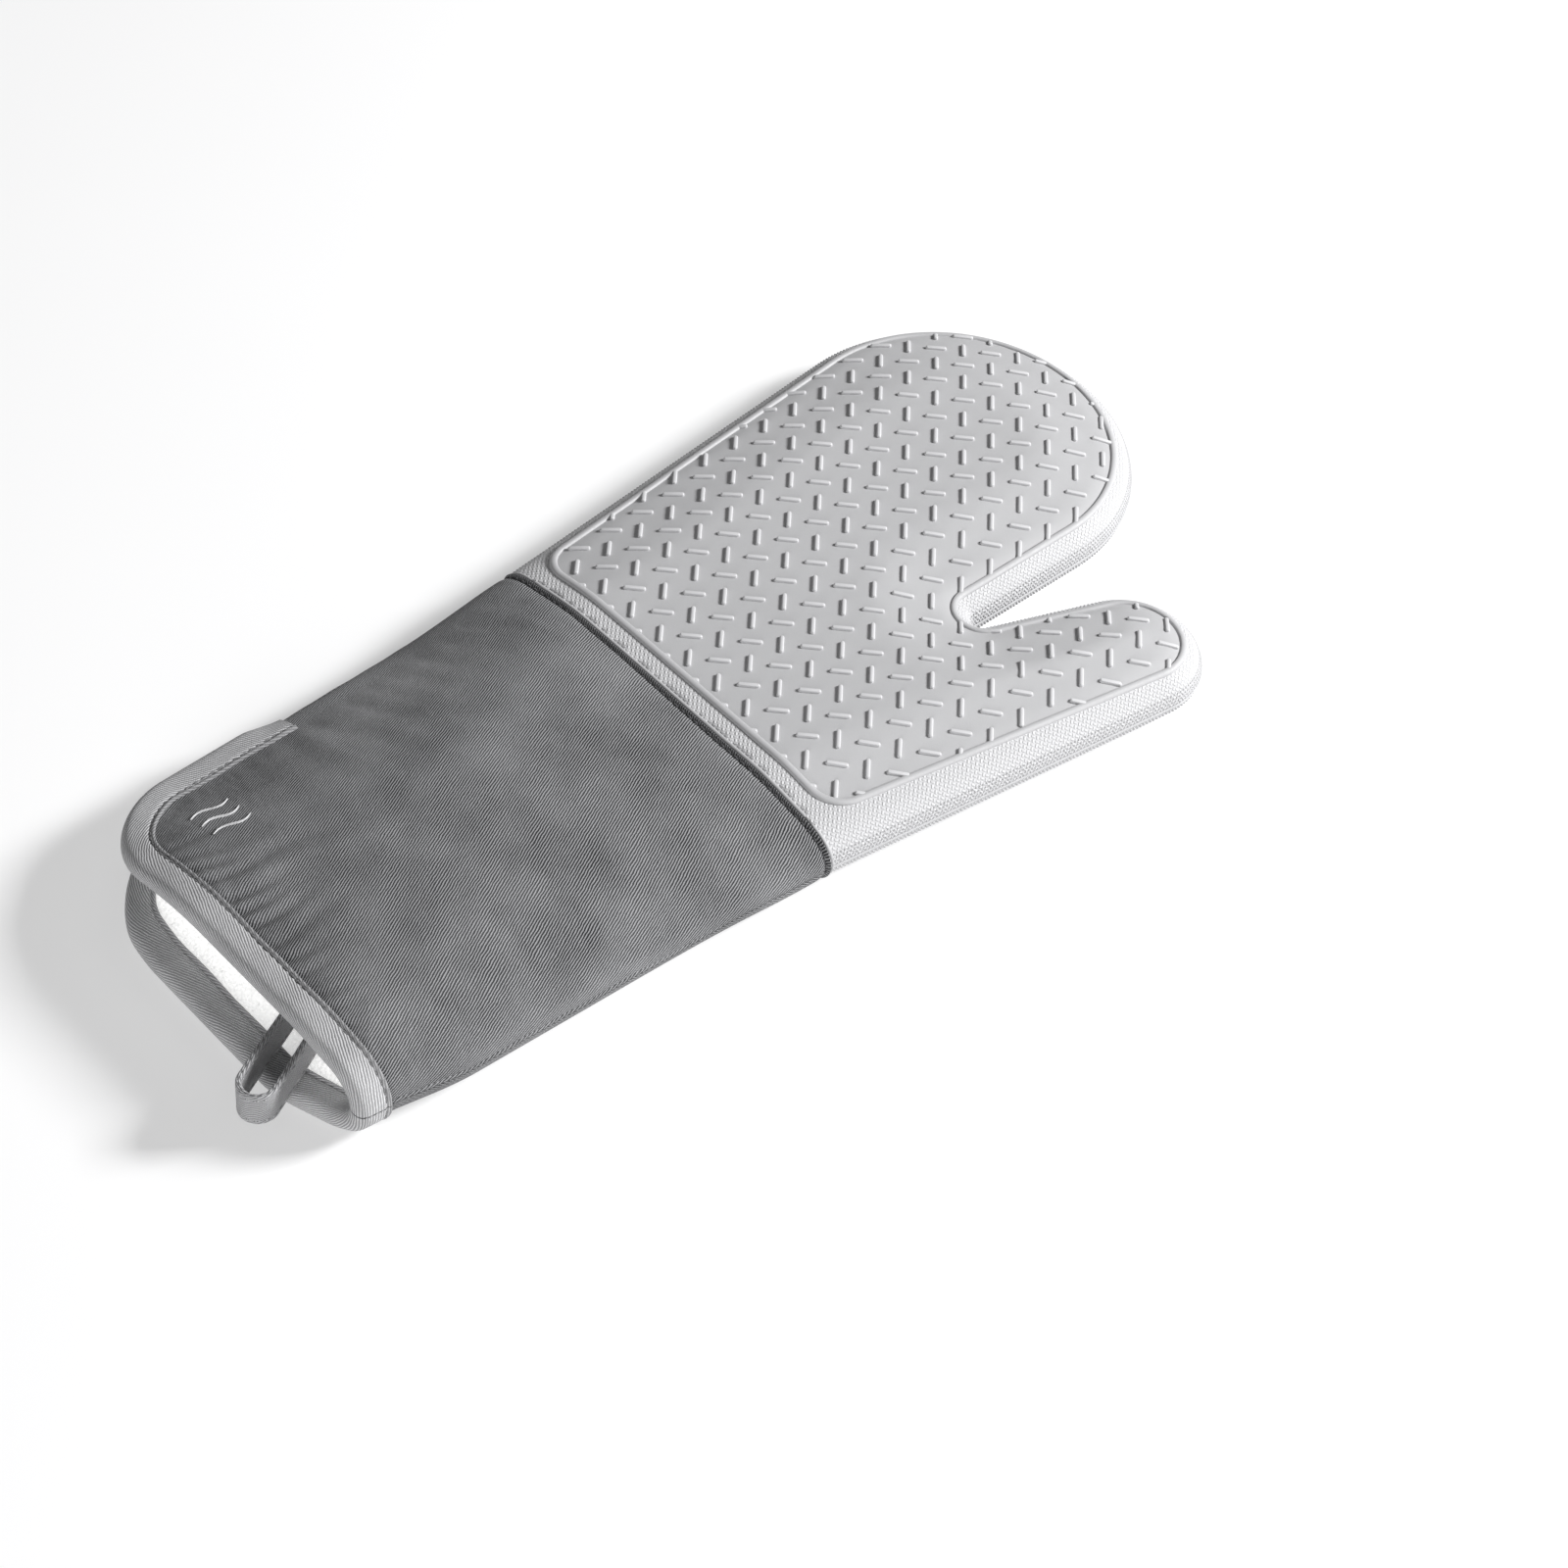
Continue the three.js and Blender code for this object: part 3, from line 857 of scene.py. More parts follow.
def side_y(x):
    """The finger-side and thumb-side seams at places along the cuff."""
    share = (JOIN_X - x) / CUFF_LENGTH
    finger = WRIST_FINGER_Y + (MOUTH_FINGER_Y - WRIST_FINGER_Y) * share
    thumb = WRIST_THUMB_Y + (MOUTH_THUMB_Y - WRIST_THUMB_Y) * share
    return finger, thumb


def cuff_point(x, y, inset, sign):
    """A point of the cuff under plan place (x, y) of its outer surface, some way in from it."""
    x, y, inset = np.broadcast_arrays(x, y, inset)
    finger, thumb = side_y(x)
    seam = seam_height(x)
    by_thumb = np.clip(1 - (y - thumb) / RIM, 0, 1)
    rim = RIM + (SOFT_RIM - RIM) * ease((JOIN_X - x) / 50) * (sign > 0)
    by_finger = np.clip(1 - (finger - y) / rim, 0, 1)
    vent = ease((VENT_X - x) / 14)
    edge = FRONT_EDGE if sign > 0 else BACK_EDGE
    gentle = edge + (1 - edge) * ease((finger - y) / DROOP)
    side = np.sqrt(1 - by_finger**2)
    if sign > 0:
        side = side * (1 - SIDE_SAG * ease((JOIN_X - x) / 70) * (1 - ease((finger - y) / 62)))
    facing = np.sqrt(1 - by_thumb**2) * (np.sqrt(1 - by_finger**2) * (1 - vent) + vent)
    up = np.sqrt(1 - by_thumb**2) * (side * (1 - vent) + gentle * vent)
    z = seam + sign * (seam * up - inset * facing)
    plan_y = y + inset * (by_thumb - by_finger * (1 - vent))
    plan_y = plan_y + THUMB_DRAW * ease((MOUTH_X + 38 - x) / 38) * ease((-15 - y) / 45)
    if sign > 0:
        share = np.clip((JOIN_X - x) / CUFF_LENGTH, 0, 1)
        middle = np.minimum(y - thumb, finger - y)
        z = z + crown_at(middle) * (1 - 0.35 * ease(share))
        z = z + PADDING * ease(middle / 55) * np.sin(math.pi * share)
        return np.stack([x, plan_y, z], -1)
    near_mouth = ease((MOUTH_X + 60 - x) / 60)
    bow = BACK_BOW * near_mouth * ease((y - thumb) / 38) * ease((finger + 20 - y) / 62)
    drawn_in = BACK_DRAW * near_mouth * ease(y / 55)
    return np.stack([x - bow, plan_y - drawn_in, z], -1)


def across_cuff(xs, mid_steps, rim_steps=14):
    """Plan places of cross-sections, closer together where the surface turns down to the seams."""
    finger, thumb = side_y(xs)
    lean = RIM * (1 - np.cos(np.linspace(0, math.pi / 2, rim_steps + 1)))
    left, right = thumb[:, None] + lean, finger[:, None] - lean[::-1]
    share = np.linspace(0, 1, mid_steps + 1)[1:-1]
    middle = left[:, -1:] + (right[:, :1] - left[:, -1:]) * share
    y = np.concatenate([left, middle, right], 1)
    return np.repeat(xs[:, None], y.shape[1], 1), y


def bound_path(step):
    """The bound edge in plan: from the vent's end, round the corner, down to the thumb side."""
    tilt = math.atan((WRIST_FINGER_Y - MOUTH_FINGER_Y) / CUFF_LENGTH)
    corner_x = MOUTH_X + CORNER_R
    corner_y = side_y(corner_x)[0] - CORNER_R / math.cos(tilt)
    side = np.array([-math.sin(tilt), math.cos(tilt)])
    tangent = np.array([corner_x, corner_y]) + CORNER_R * side
    vent_end = np.array([VENT_X - GAP, side_y(VENT_X - GAP)[0]])
    steps = round(np.linalg.norm(vent_end - tangent) / step)
    straight = vent_end + (tangent - vent_end) * np.linspace(0, 1, steps + 1)[:, None]
    turn = np.linspace(math.pi / 2 + tilt, math.pi, round(CORNER_R * 1.5 / step) + 1)
    round_normal = np.stack([np.cos(turn), np.sin(turn)], -1)
    corner = np.array([corner_x, corner_y]) + CORNER_R * round_normal
    thumb = side_y(MOUTH_X)[1]
    down = np.linspace(corner_y, thumb + RIM, round((corner_y - thumb - RIM) / step) + 1)
    curl = thumb + RIM * (1 - np.cos(np.linspace(math.pi / 2, 0.02, 20)))
    low = np.concatenate([down, curl[1:]])
    mouth = np.stack([np.full(len(low), MOUTH_X), low], -1)
    path = np.concatenate([straight, corner[1:], mouth[1:]])
    facing = np.concatenate([
        np.repeat(side[None], len(straight), 0), round_normal[1:], np.tile([-1.0, 0.0], (len(mouth) - 1, 1))])
    return path, facing


def edge_point(path, facing, depth, inset, sign):
    """Points a depth in from the bound edge and an inset under the surface."""
    place = path[:, None] - facing[:, None] * depth[..., None]
    thumb_here, thumb_edge = side_y(place[..., 0])[1], side_y(path[:, :1])[1]
    near = 1 - ease((path[:, 1:] - thumb_edge) / 40)
    return cuff_point(place[..., 0], place[..., 1] + (thumb_here - thumb_edge) * near, inset, sign)


BOUND, BOUND_FACING = bound_path(1.0)
bound_tree = tree_of(BOUND)


def bound_depth(x, y):
    """How far plan places lie inside the bound edge; far in where no bound edge is near."""
    depth = np.empty(x.size)
    for i, place in enumerate(zip(x.ravel(), y.ravel())):
        near = bound_tree.find((*place, 0))[1]
        depth[i] = np.dot(BOUND[near] - place, BOUND_FACING[near])
    return depth.reshape(x.shape)


PUCKERS_FROM, STRONGEST, STRONG_WIDTH = 84.0, 116.0, 34.0  # along the bound edge


def pucker_lines():
    """Start, direction, length and depth of the folds that the binding draws into the panel."""
    maker = np.random.default_rng(5)
    length = path_length(BOUND)
    lines, at = [], PUCKERS_FROM
    while at < length[-1] - 16:
        i = np.searchsorted(length, at)
        way = -BOUND_FACING[i]
        turn = math.radians(maker.uniform(-24, 4))
        cos, sin = math.cos(turn), math.sin(turn)
        way = np.array([way[0] * cos - way[1] * sin, way[0] * sin + way[1] * cos])
        strong = math.exp(-(((at - STRONGEST) / STRONG_WIDTH) ** 2))
        deep = maker.uniform(1.4, 2.6) * (0.3 + 0.9 * strong)
        start = BOUND[i] - BOUND_FACING[i] * (BINDING_WIDTH - 1)
        lines.append((start, way, maker.uniform(10, 18) * (0.7 + 0.7 * strong), deep))
        at += maker.uniform(6.0, 9.5)
    return lines


def puckers(x, y):
    """How far the folds lower the panel, each with a low ridge on both sides."""
    made = np.zeros_like(x)
    for start, way, length, deep in pucker_lines():
        run = (x - start[0]) * way[0] + (y - start[1]) * way[1]
        off = (y - start[1]) * way[0] - (x - start[0]) * way[1] + 0.9 * np.sin(run / 6)
        width = 1.5 + 0.07 * np.maximum(run, 0)
        fade = np.exp(-np.maximum(run, 0) / length) * ease((run + 5) / 5)
        made -= deep * fade * (np.exp(-((off / width) ** 2)) - 0.5 * np.exp(-((off / (2.3 * width)) ** 2)))
    return made


def add_cloth(piece):
    """Cotton twill with its own slack, held where it is sewn, with its wadding's pressure behind it."""
    cloth = piece.modifiers.new("cloth", "CLOTH")
    cloth.point_cache.frame_end = SIM_FRAMES
    rules = cloth.settings
    rules.quality = 5
    rules.mass = 0.2
    rules.tension_stiffness = rules.compression_stiffness = 12
    rules.shear_stiffness = 6
    rules.bending_stiffness = 3.0
    rules.air_damping = 3
    rules.vertex_group_mass = "held"
    rules.vertex_group_shrink = "slack"
    rules.shrink_min, rules.shrink_max = -0.004, -SIM_SLACK
    rules.use_pressure = True
    rules.uniform_pressure_force = 1.1
    rules.effector_weights.gravity = 0


def settled(start, held, slack):
    """Where the points of a cloth sheet come to rest, in millimetres."""
    shape = Shape()
    shape.sheet(start)
    piece = shape.object("simulated_panel", [])
    order = tree_of([vertex.co for vertex in piece.data.vertices])
    index = [order.find(place)[1] for place in (start.reshape(-1, 3) + ORIGIN) * MM]
    piece.data.transform(Matrix.Scale(SIM_SCALE, 4))
    groups = piece.vertex_groups.new(name="held"), piece.vertex_groups.new(name="slack")
    for vertex, pinned, loose in zip(index, held.ravel(), slack.ravel()):
        if pinned:
            groups[0].add([vertex], 1.0, "REPLACE")
        groups[1].add([vertex], float(loose), "REPLACE")
    add_cloth(piece)
    scene = bpy.context.scene
    for step in range(1, SIM_FRAMES + 1):
        scene.frame_set(step)
    solved = piece.evaluated_get(bpy.context.evaluated_depsgraph_get())
    result = solved.to_mesh()
    moved = np.array([result.vertices[i].co for i in index]) / (SIM_SCALE * MM) - ORIGIN
    solved.to_mesh_clear()
    scene.frame_set(1)
    bpy.data.objects.remove(piece)
    return moved.reshape(start.shape)


def drawn_by_cloth(x, y):
    """The front panel's lift over its plain shape, from a cloth simulation.

    The panel is held along its seams and its bound edge, and it is cut a little too long there,
    so it buckles into folds that run in from the binding, while its wadding pushes it out."""
    rows = np.linspace(MOUTH_X + 2, JOIN_X - 0.4, SIM_ROWS)
    sim_x, sim_y = across_cuff(rows, SIM_COLUMNS, 7)
    flat = cuff_point(sim_x, sim_y, TWILL_INSET, 1)
    up = cuff_point(sim_x, sim_y, TWILL_INSET - 1, 1) - flat
    depth = bound_depth(sim_x, sim_y)
    finger, thumb = side_y(sim_x)
    side = np.minimum(sim_y - thumb, finger - sim_y)
    start = flat + up * (0.05 * rng.normal(0, 1, sim_x.shape) * (depth > 11))[..., None]
    held = (depth < BINDING_WIDTH - 0.6) | (sim_x > STITCH_X - 1) | (side < 3)
    slack = np.exp(-np.maximum(depth - BINDING_WIDTH, 0) / 20)
    slack = slack * (0.3 + 0.7 * np.exp(-(((sim_y - 8) / 34) ** 2)))
    lift = np.minimum(np.sum((settled(start, held, slack) - flat) * up, -1), MOST_LIFT)
    sim_share = (sim_y - thumb) / (finger - thumb)
    finger, thumb = side_y(x)
    share = (y - thumb) / (finger - thumb)
    near = np.stack([np.interp(share[len(share) // 2], a, b) for a, b in zip(sim_share, lift)])
    at = np.clip((x[:, 0] - rows[0]) / (rows[-1] - rows[0]) * (SIM_ROWS - 1), 0, SIM_ROWS - 1.001)
    first = at.astype(int)
    blend = (at - first)[:, None]
    blend = ease(blend) * 0.3 + blend * 0.7
    return near[first] * (1 - blend) + near[first + 1] * blend


def join_relief(x):
    """The folded twill edge next to the silicone, and the dip along its stitches."""
    fold = 0.8 * np.exp(-(((x - STITCH_X - 1.1) / 0.42) ** 2))
    dip = 0.4 * np.exp(-(((x - STITCH_X) / 0.45) ** 2))
    past = STITCH_X - x
    fullness = 1.1 + 0.4 * ease(past / 3)
    fullness = np.where(past > 3, 1.5 * np.exp(-(np.maximum(past - 3, 0) / 28) ** 2), fullness)
    return fold - dip + fullness


def unrolled_uv(co):
    """Pattern coordinates: along the cuff, and the length across it measured on the surface."""
    step = np.linalg.norm(np.diff(co, axis=1), axis=2)
    across = np.concatenate([np.zeros((len(co), 1)), np.cumsum(step, 1)], 1)
    across = across - across[:, across.shape[1] // 2][:, None]
    return np.stack([co[..., 0], across], -1)


def cuff_layer(name, x, y, inset, lift, thickness, sign, material):
    """One layer of a cuff panel, lifted a little from its inset under the outer surface."""
    co = cuff_point(x, y, inset - lift, sign)
    smooth = cuff_point(x, y, inset, sign)
    shape = Shape()
    shape.sheet(co, unrolled_uv(smooth), 0, sign < 0, (bound_depth(x, y) > HEM) | (x > VENT_X))
    return solid_of(shape.object(name, [material]), thickness)


def twill_panel(name, sign):
    """The outer cloth of one side: padding, join and, on the front, puckers and simulated folds."""
    xs = np.concatenate([
        np.linspace(MOUTH_X + 2.0, MOUTH_X + 45, 62),
        np.linspace(MOUTH_X + 45.8, STITCH_X - 3, 90),
        np.linspace(STITCH_X - 2.4, JOIN_X - 0.4, 24),
    ])
    x, y = across_cuff(xs, 150)
    finger, thumb = side_y(x)
    crest = ease(np.minimum(y - thumb, finger - y) / 12)
    lift = join_relief(x) + 0.45 * swell(x * 0.8, y * 0.8) * crest
    if sign > 0:
        lift = lift + ((drawn_by_cloth(x, y) + puckers(x, y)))
    else:
        lift = np.where(crest > 0.5, np.minimum(lift, 0.6), lift)
    lift = np.where(lift < 0, MOST_SAG * np.tanh(lift / MOST_SAG), lift)
    return cuff_layer(name, x, y, TWILL_INSET, lift, TWILL_THICKNESS, sign, TWILL)


def soft_layer(name, sign, material, inset, thickness, rough):
    """Wadding or lining under the twill."""
    xs = np.concatenate([np.linspace(MOUTH_X + HEM, MOUTH_X + 60, 90),
                         np.linspace(MOUTH_X + 61.5, JOIN_X - 0.3, 50)])
    x, y = across_cuff(xs, 150)
    lift = rng.normal(0, 1, x.shape) * rough
    return cuff_layer(name, x, y, inset, lift, thickness, sign, material)


def hand_layer(name, sign, material, inset, thickness):
    """Wadding or lining of the hand, from the side seam to the middle of the face."""
    base, normal = hand_path(2.0, -RIM)
    half = HAND_HALF - inset
    angle = np.linspace(0, math.pi / 2, 9)
    out = (RIM - inset) * np.cos(angle)
    plan = base[:, None] + normal[:, None] * out[None, :, None]
    height = HAND_LAYER_EDGE + (half - HAND_LAYER_EDGE) * np.sin(angle)
    shape = Shape()
    shape.sheet(at_height(plan, HAND_SEAM_Z + sign * height), flip=sign < 0)
    grid = plan_grid(base, 3, 5.0)
    grid = grid[(seam_distance(grid) > RIM + 2) & (grid[:, 0] > JOIN_X + 2)]
    places, faces = triangles(base, np.empty((0, 2)), grid)
    co = at_height(places, HAND_SEAM_Z + sign * half)
    shape.add(co, [face if sign > 0 else face[::-1] for face in faces])
    return solid_of(shape.object(name, [material]), thickness)


def lining_seam():
    """The rolled seam round the edge of the hand's lining."""
    rings = edge_ring(*hand_path(1.6, -5.2), half_width=0.7, half_height=0.5, shift=0.0, steps=8)
    return tube_piece("hand_terry_seam", TERRY, rings, flip=True)


def side_seam(name, out, x_end):
    """The ridge of folded twill where front and back of the cuff are sewn together."""
    xs = np.linspace(x_end, JOIN_X - 0.5, 160)
    finger, thumb = side_y(xs)
    points = cuff_point(xs, finger if out > 0 else thumb, 1.6, 1)
    points[:, 2] += 0.12 * np.sin(xs / 5.3) + 0.08 * np.sin(xs / 2.1)
    angle = circle(12)
    rings = rings_round(points, np.array([0, out, 0]), UP, 0.8 * np.cos(angle) - 0.2, 0.9 * np.sin(angle))
    return tube_piece(name, TWILL, rings, pattern(xs, angle * 0.9), flip=out > 0)


panels = [twill_panel("cuff_" + side, sign) for side, sign in SIDES]
for panel, (side, sign) in zip(panels, SIDES):
    stands_for(panel, "cuff_twill_" + side)
for (side, sign), inset, thickness in zip(SIDES, (3.6, 2.5), (0.8, 1.7)):
    wadding = soft_layer("cuff_%s_wadding" % side, sign, WADDING, inset, thickness, rough=0.0)
    stands_for(wadding, "cuff_wadding_" + side)
for side, sign in SIDES:
    terry = soft_layer("cuff_%s_terry" % side, sign, TERRY, inset=4.5, thickness=1.3, rough=0.12)
    stands_for(terry, "cuff_lining_" + side)
for side, sign in SIDES:
    wadding = hand_layer("hand_%s_wadding" % side, sign, WADDING, inset=2.4, thickness=1.7)
    stands_for(wadding, "hand_wadding_" + side)
for side, sign in SIDES:
    terry = hand_layer("hand_%s_terry" % side, sign, TERRY, inset=4.6, thickness=1.3)
    stands_for(terry, "hand_lining_" + side)
stands_for(lining_seam(), "hand_lining_seam")
for side, out, x_end in (("thumb", -1, MOUTH_X + BINDING_WIDTH - 1), ("finger", 1, VENT_X + 0.5)):
    seam = side_seam("cuff_%s_side_seam" % side, out, x_end)
    stands_for(seam, "cuff_seam_%s_side" % side)


# ---------------------------------------------------------------- binding and its stitches

TAPE_FOLD = 3.55  # half the thickness of the bound edge
TOPSTITCH_DEPTH = BINDING_WIDTH - 1.5


def tape_profile():
    """The tape's section as (depth in from the edge, inset under the surface), all round."""
    turn = np.linspace(math.pi / 2, -math.pi / 2, 15)
    fold_depth = TAPE_FOLD - TAPE_FOLD * np.cos(turn) ** 0.75
    fold_inset = TAPE_FOLD - TAPE_FOLD * np.sin(turn)
    margin = np.array([0.0, 0.06, 0.25, 0.6, 0.95, 1.2, 1.5, 1.8, 2.15, 2.6, 3.4, 4.6])
    sunk = np.array([1.1, 0.45, 0.12, 0.0, 0.1, 0.42, 0.62, 0.42, 0.16, 0.05, 0.0, 0.0])
    leg = BINDING_WIDTH - margin
    outer_depth = np.concatenate([leg, fold_depth, leg[::-1]])
    outer_inset = np.concatenate([sunk, fold_inset, 2 * TAPE_FOLD - sunk[::-1]])
    inner_turn = turn[::-1]
    inner = TAPE_FOLD - 1.0
    inner_depth = np.concatenate([[BINDING_WIDTH - 0.1], TAPE_FOLD - inner * np.cos(inner_turn),
                                  [BINDING_WIDTH - 0.1]])
    inner_inset = np.concatenate([[2 * TAPE_FOLD - 1.15], TAPE_FOLD - inner * np.sin(inner_turn), [1.15]])
    return np.concatenate([outer_depth, inner_depth]), np.concatenate([outer_inset, inner_inset])


def binding(name, sign):
    """The tape folded over a panel's edge, with the small waves that its stitches make."""
    path, facing = bound_path(0.8)
    depth, inset = tape_profile()
    length = path_length(path)
    outer = (inset < TAPE_FOLD) & (depth > 1.5)
    ripple = 0.10 * np.sin(length / 3.1 + 1.2 * np.sin(length / 11)) + 0.12 * np.sin(length / 9.0 + 1)
    gather = 0.10 * np.cos(2 * math.pi * length / 2.9)
    margin = np.exp(-(((depth - TOPSTITCH_DEPTH) / 0.9) ** 2))
    lift = ripple[:, None] * outer + gather[:, None] * margin
    wander = 0.18 * np.sin(length / 13) + 0.1 * np.sin(length / 4.3)
    reach = depth + wander[:, None] * (depth > BINDING_WIDTH / 2)
    rings = edge_point(path, facing, reach, inset - lift, sign)
    unrolled = np.concatenate([[0], np.cumsum(np.hypot(np.diff(depth), np.diff(inset)))])
    return tube_piece(name, BINDING_TAPE, rings, pattern(length, unrolled), sign < 0, smooth=60)


def add_stitch(shape, start, end, up, radius, arch):
    """One stitch: a short thread that comes up out of the cloth and goes back into it."""
    share = np.linspace(0, 1, 7)[:, None]
    along = end - start
    side = np.cross(up, along)
    side /= np.linalg.norm(side)
    centre = start + along * share + up * (arch * np.sin(math.pi * share) - 0.3 * arch)
    width = radius * np.maximum(np.sin(math.pi * share) ** 0.35, 0.25)
    turn = circle(6)
    shape.tube(rings_round(centre, side, up, width * np.cos(turn), 0.8 * width * np.sin(turn)))


def stitch_row(shape, points, ups, pitch, long, radius, arch):
    """Stitches of one length at one pitch along a line of points."""
    length = path_length(points)
    maker = np.random.default_rng(3)
    for at in np.arange(pitch / 2, length[-1] - pitch / 2, pitch):
        ends = np.array([at - long / 2, at + long / 2]) + maker.uniform(-0.08, 0.08)
        start, end = points_at(ends, length, points)
        up = points_at(at, length, ups)
        add_stitch(shape, start, end, up / np.linalg.norm(up), radius, arch)


def topstitching(name, sign):
    """The row of stitches along the binding's inner edge."""
    path, facing = bound_path(0.8)
    depth = np.full((len(path), 1), TOPSTITCH_DEPTH)
    top = edge_point(path, facing, depth, 0.42, sign)[:, 0]
    under = edge_point(path, facing, depth, 1.42, sign)[:, 0]
    shape = Shape()
    stitch_row(shape, top, top - under, pitch=2.9, long=2.35, radius=0.26, arch=0.16)
    return shape.object(name, [PALE_THREAD])


def join_stitching(name, sign):
    """The row of heavy stitches that holds the twill to the silicone."""
    x, y = across_cuff(np.array([STITCH_X]), 150)
    top = cuff_point(x[0], y[0], TWILL_INSET - join_relief(STITCH_X) - 0.1, sign)
    under = cuff_point(x[0], y[0], 3.0, sign)
    shape = Shape()
    stitch_row(shape, top, top - under, pitch=2.95, long=1.9, radius=0.38, arch=0.5)
    return shape.object(name, [DARK_THREAD])


for side, sign in SIDES:
    stands_for(binding("binding_%s_tape" % side, sign), "binding_" + side)
for side, sign in SIDES:
    stitches = topstitching("binding_%s_stitches" % side, sign)
    stands_for(stitches, "binding_thread_" + side)
for side, sign in SIDES:
    stands_for(join_stitching("join_%s_stitches" % side, sign), "join_thread_" + side)


# ---------------------------------------------------------------- embroidered steam lines

front_tree = BVHTree.FromPolygons([v.co for v in panels[0].data.vertices],
                                  [f.vertices for f in panels[0].data.polygons])


def on_panel(x, y):
    """The point of the front panel's outer surface over a plan place."""
    hit = front_tree.ray_cast(Vector(((x + ORIGIN[0]) * MM, y * MM, 1.0)), Vector((0, 0, -1)))[0]
    return np.array([x, y, hit.z / MM])


def steam_line(name, node):
    """One wavy stroke of satin stitch: short threads laid side by side across it."""
    low, high = box_mm(node)
    share = np.linspace(0.02, 0.98, 52)
    x = low[0] + (high[0] - low[0]) * share
    y = (low[1] + high[1]) / 2 + 1.15 * np.sin(2 * math.pi * share)
    half = 0.62 * np.sqrt(np.sin(math.pi * share))
    shape = Shape()
    for at_x, at_y, reach in zip(x, y, half):
        ends = on_panel(at_x - 0.18, at_y - reach), on_panel(at_x + 0.18, at_y + reach)
        add_stitch(shape, *ends, UP, radius=0.21, arch=0.36)
    return shape.object(name, [MARK_THREAD])


for number in ("1", "2", "3"):
    node = "steam_embroidery_" + number
    stands_for(steam_line("steam_stitches_" + number, node), node)


# ---------------------------------------------------------------- hanging loop

LOOP_STRAP = 1.6  # the strap's thickness
LOOP_ROOT = np.array([-165.3, -22.0])  # where its ends are sewn in
LOOP_ROOT_R, LOOP_TIP_R = 5.5, 6.0
LOOP_REACH = 35.0  # from root to tip
LOOP_TURN = math.radians(180 + 25)
LOOP_STITCH_ROW = 0.74  # of the strap's half width, from its middle


def loop_path(step):
    """The strap's middle line, from one sewn end out round the tip and back."""
    way = np.array([math.cos(LOOP_TURN), math.sin(LOOP_TURN)])
    tip = LOOP_ROOT + way * LOOP_REACH
    circles = ((*LOOP_ROOT, LOOP_ROOT_R - LOOP_STRAP / 2), (*tip, LOOP_TIP_R - LOOP_STRAP / 2))
    points, normals = belt(circles, step)
    start = np.argmin((points - LOOP_ROOT) @ way)
    return np.roll(points, -start, 0), np.roll(normals, -start, 0)


def hanging_loop():
    """A strap that stands on its edge, with a row of stitches along both edges of both faces."""
    points, normals = loop_path(0.5)
    middle = (LOOP_LOW[2] + LOOP_HIGH[2]) / 2
    half_high, half_thick = (LOOP_HIGH[2] - LOOP_LOW[2]) / 2, LOOP_STRAP / 2
    face = np.linspace(-0.93, 0.93, 17)
    stitch_dip = 0.16 * np.exp(-(((np.abs(face) - LOOP_STITCH_ROW) / 0.06) ** 2))
    edge_out, edge_high = np.array([0.72, 0.2, 0, -0.2, -0.72]), np.array([0.985, 0.99, 0.95, 0.99, 0.985])
    out = np.concatenate([1 - stitch_dip, edge_out, stitch_dip[::-1] - 1, -edge_out]) * half_thick
    high = np.concatenate([face, edge_high, face[::-1], -edge_high]) * half_high
    length = path_length(points)
    bow = 0.12 * np.sin(length / 4.0)
    centre, facing = at_height(points, middle + bow), at_height(normals, 0.0)
    section = np.cumsum(np.hypot(np.diff(out, prepend=out[-1]), np.diff(high, prepend=high[-1])))
    shape = Shape()
    shape.tube(rings_round(centre, facing, UP, out, high), pattern(length, section), flip=True)
    for row in (-LOOP_STITCH_ROW, LOOP_STITCH_ROW):
        for side in (1, -1):
            line = centre + facing * (side * half_thick * 0.9) + UP * row * half_high
            stitch_row(shape, line, facing * side, pitch=2.7, long=2.1, radius=0.2, arch=0.12)
    return shape.object("loop_strap", [TAPE], 60)


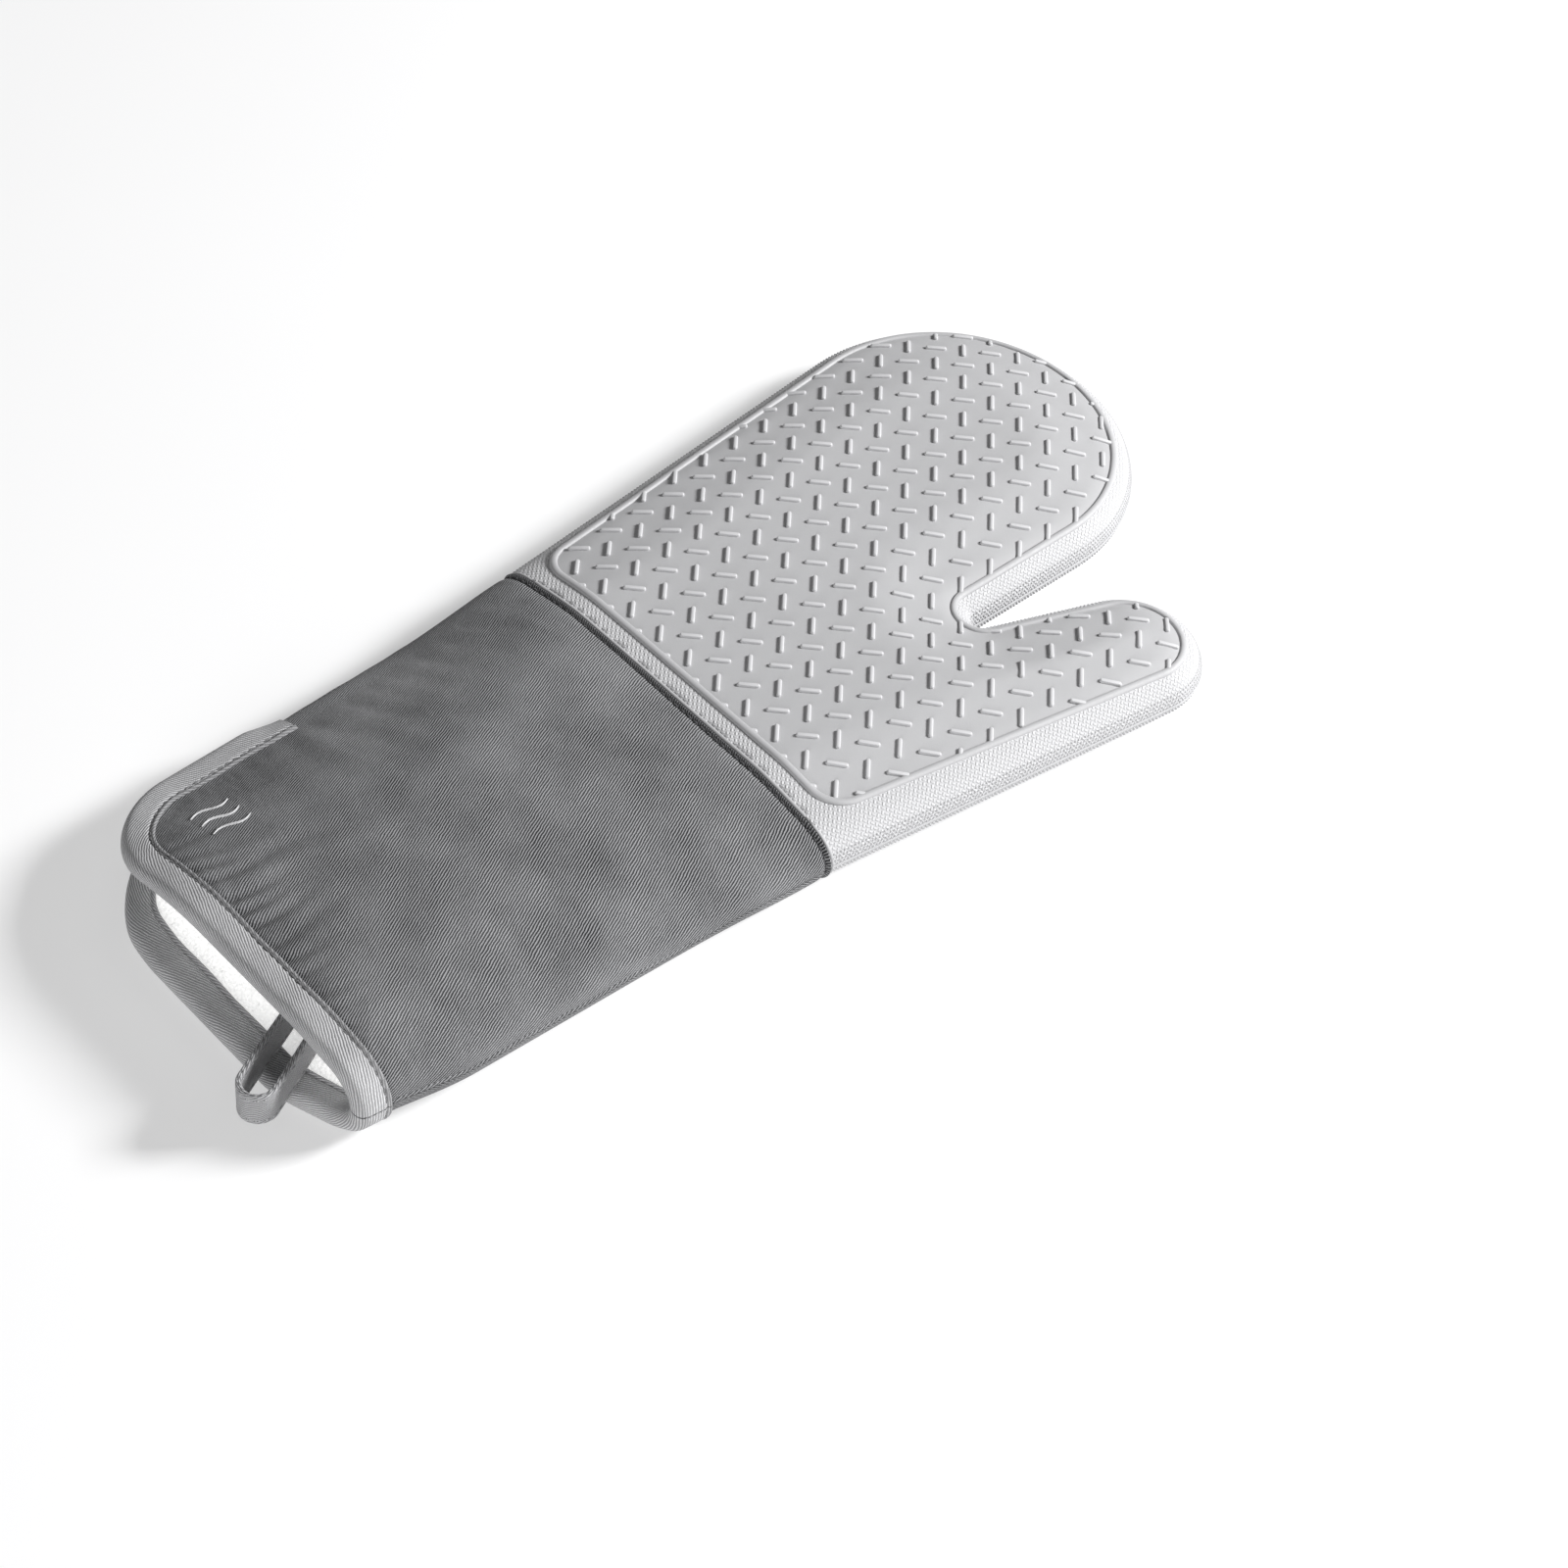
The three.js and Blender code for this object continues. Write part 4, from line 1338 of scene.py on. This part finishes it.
def loop_tack():
    """A bar tack: thread wound many times round the loop's sewn ends."""
    low, high = box_mm("hanging_loop_tack")
    middle, half = (low + high) / 2, (high - low) / 2
    radius = 0.32
    turns = int((high[2] - low[2] - 2 * radius) / (2 * radius * 0.95))
    angle = np.linspace(0, 2 * math.pi * turns, turns * 20 + 1)
    round_x = np.sign(np.cos(angle)) * np.abs(np.cos(angle)) ** 0.5 * (half[0] - radius)
    round_y = np.sign(np.sin(angle)) * np.abs(np.sin(angle)) ** 0.5 * (half[1] - radius)
    z = np.linspace(low[2] + radius, high[2] - radius, len(angle))
    centre = np.stack([middle[0] + round_x, middle[1] + round_y, z], -1)
    out = np.stack([round_x / half[0], round_y / half[1], 0 * z], -1)
    out /= np.linalg.norm(out, axis=1, keepdims=True)
    turn = circle(6)
    rings = rings_round(centre, out, UP, radius * np.cos(turn), radius * np.sin(turn))
    return tube_piece("loop_bar_tack", PALE_THREAD, rings)


stands_for(hanging_loop(), "hanging_loop", "loop")
stands_for(loop_tack(), "hanging_loop_tack")


# ---------------------------------------------------------------- floor and light

FLOOR_HALF = 3.0  # metres


def add_stage():
    corners = [(x * FLOOR_HALF, y * FLOOR_HALF, 0) for x, y in ((-1, -1), (1, -1), (1, 1), (-1, 1))]
    mesh = bpy.data.meshes.new("floor")
    mesh.from_pydata(corners, [], [(0, 1, 2, 3)])
    floor = bpy.data.objects.new("floor", mesh)
    bpy.context.scene.collection.objects.link(floor)
    material, tree, shader = new_material("floor_pale")
    cloud = noise(tree, object_place(tree), 3.0)
    settle(tree, shader, {
        "Base Color": grey_mix(tree, cloud, (0.50, 0.50, 0.503), (0.52, 0.52, 0.523)),
        "Roughness": 0.9,
        "Emission Color": (1, 1, 1, 1),
        "Emission Strength": 0.42,
    })
    mesh.materials.append(material)


def add_light(name, place, size, power):
    """A square lamp that faces the mitt."""
    lamp = bpy.data.lights.new(name, "AREA")
    lamp.size = size
    lamp.energy = power
    holder = bpy.data.objects.new(name, lamp)
    holder.location = place
    middle = Vector((0.0, 0.0, 0.02))
    holder.rotation_euler = (middle - Vector(place)).to_track_quat("-Z", "Y").to_euler()
    bpy.context.scene.collection.objects.link(holder)


def add_lights():
    """A low soft key from the photo's right, a weak fill from its front left, and pale surroundings."""
    add_light("key", (1.196, -0.776, 0.926), size=0.42, power=53)
    add_light("fill", (-1.4, -0.9, 0.46), size=1.0, power=18)
    world = bpy.data.worlds.new("studio")
    world.use_nodes = True
    settle(world.node_tree, world.node_tree.nodes["Background"], {"Color": (1, 1, 1, 1), "Strength": 0.16})
    bpy.context.scene.world = world
    bpy.context.scene.view_settings.view_transform = "Standard"


add_stage()
add_lights()
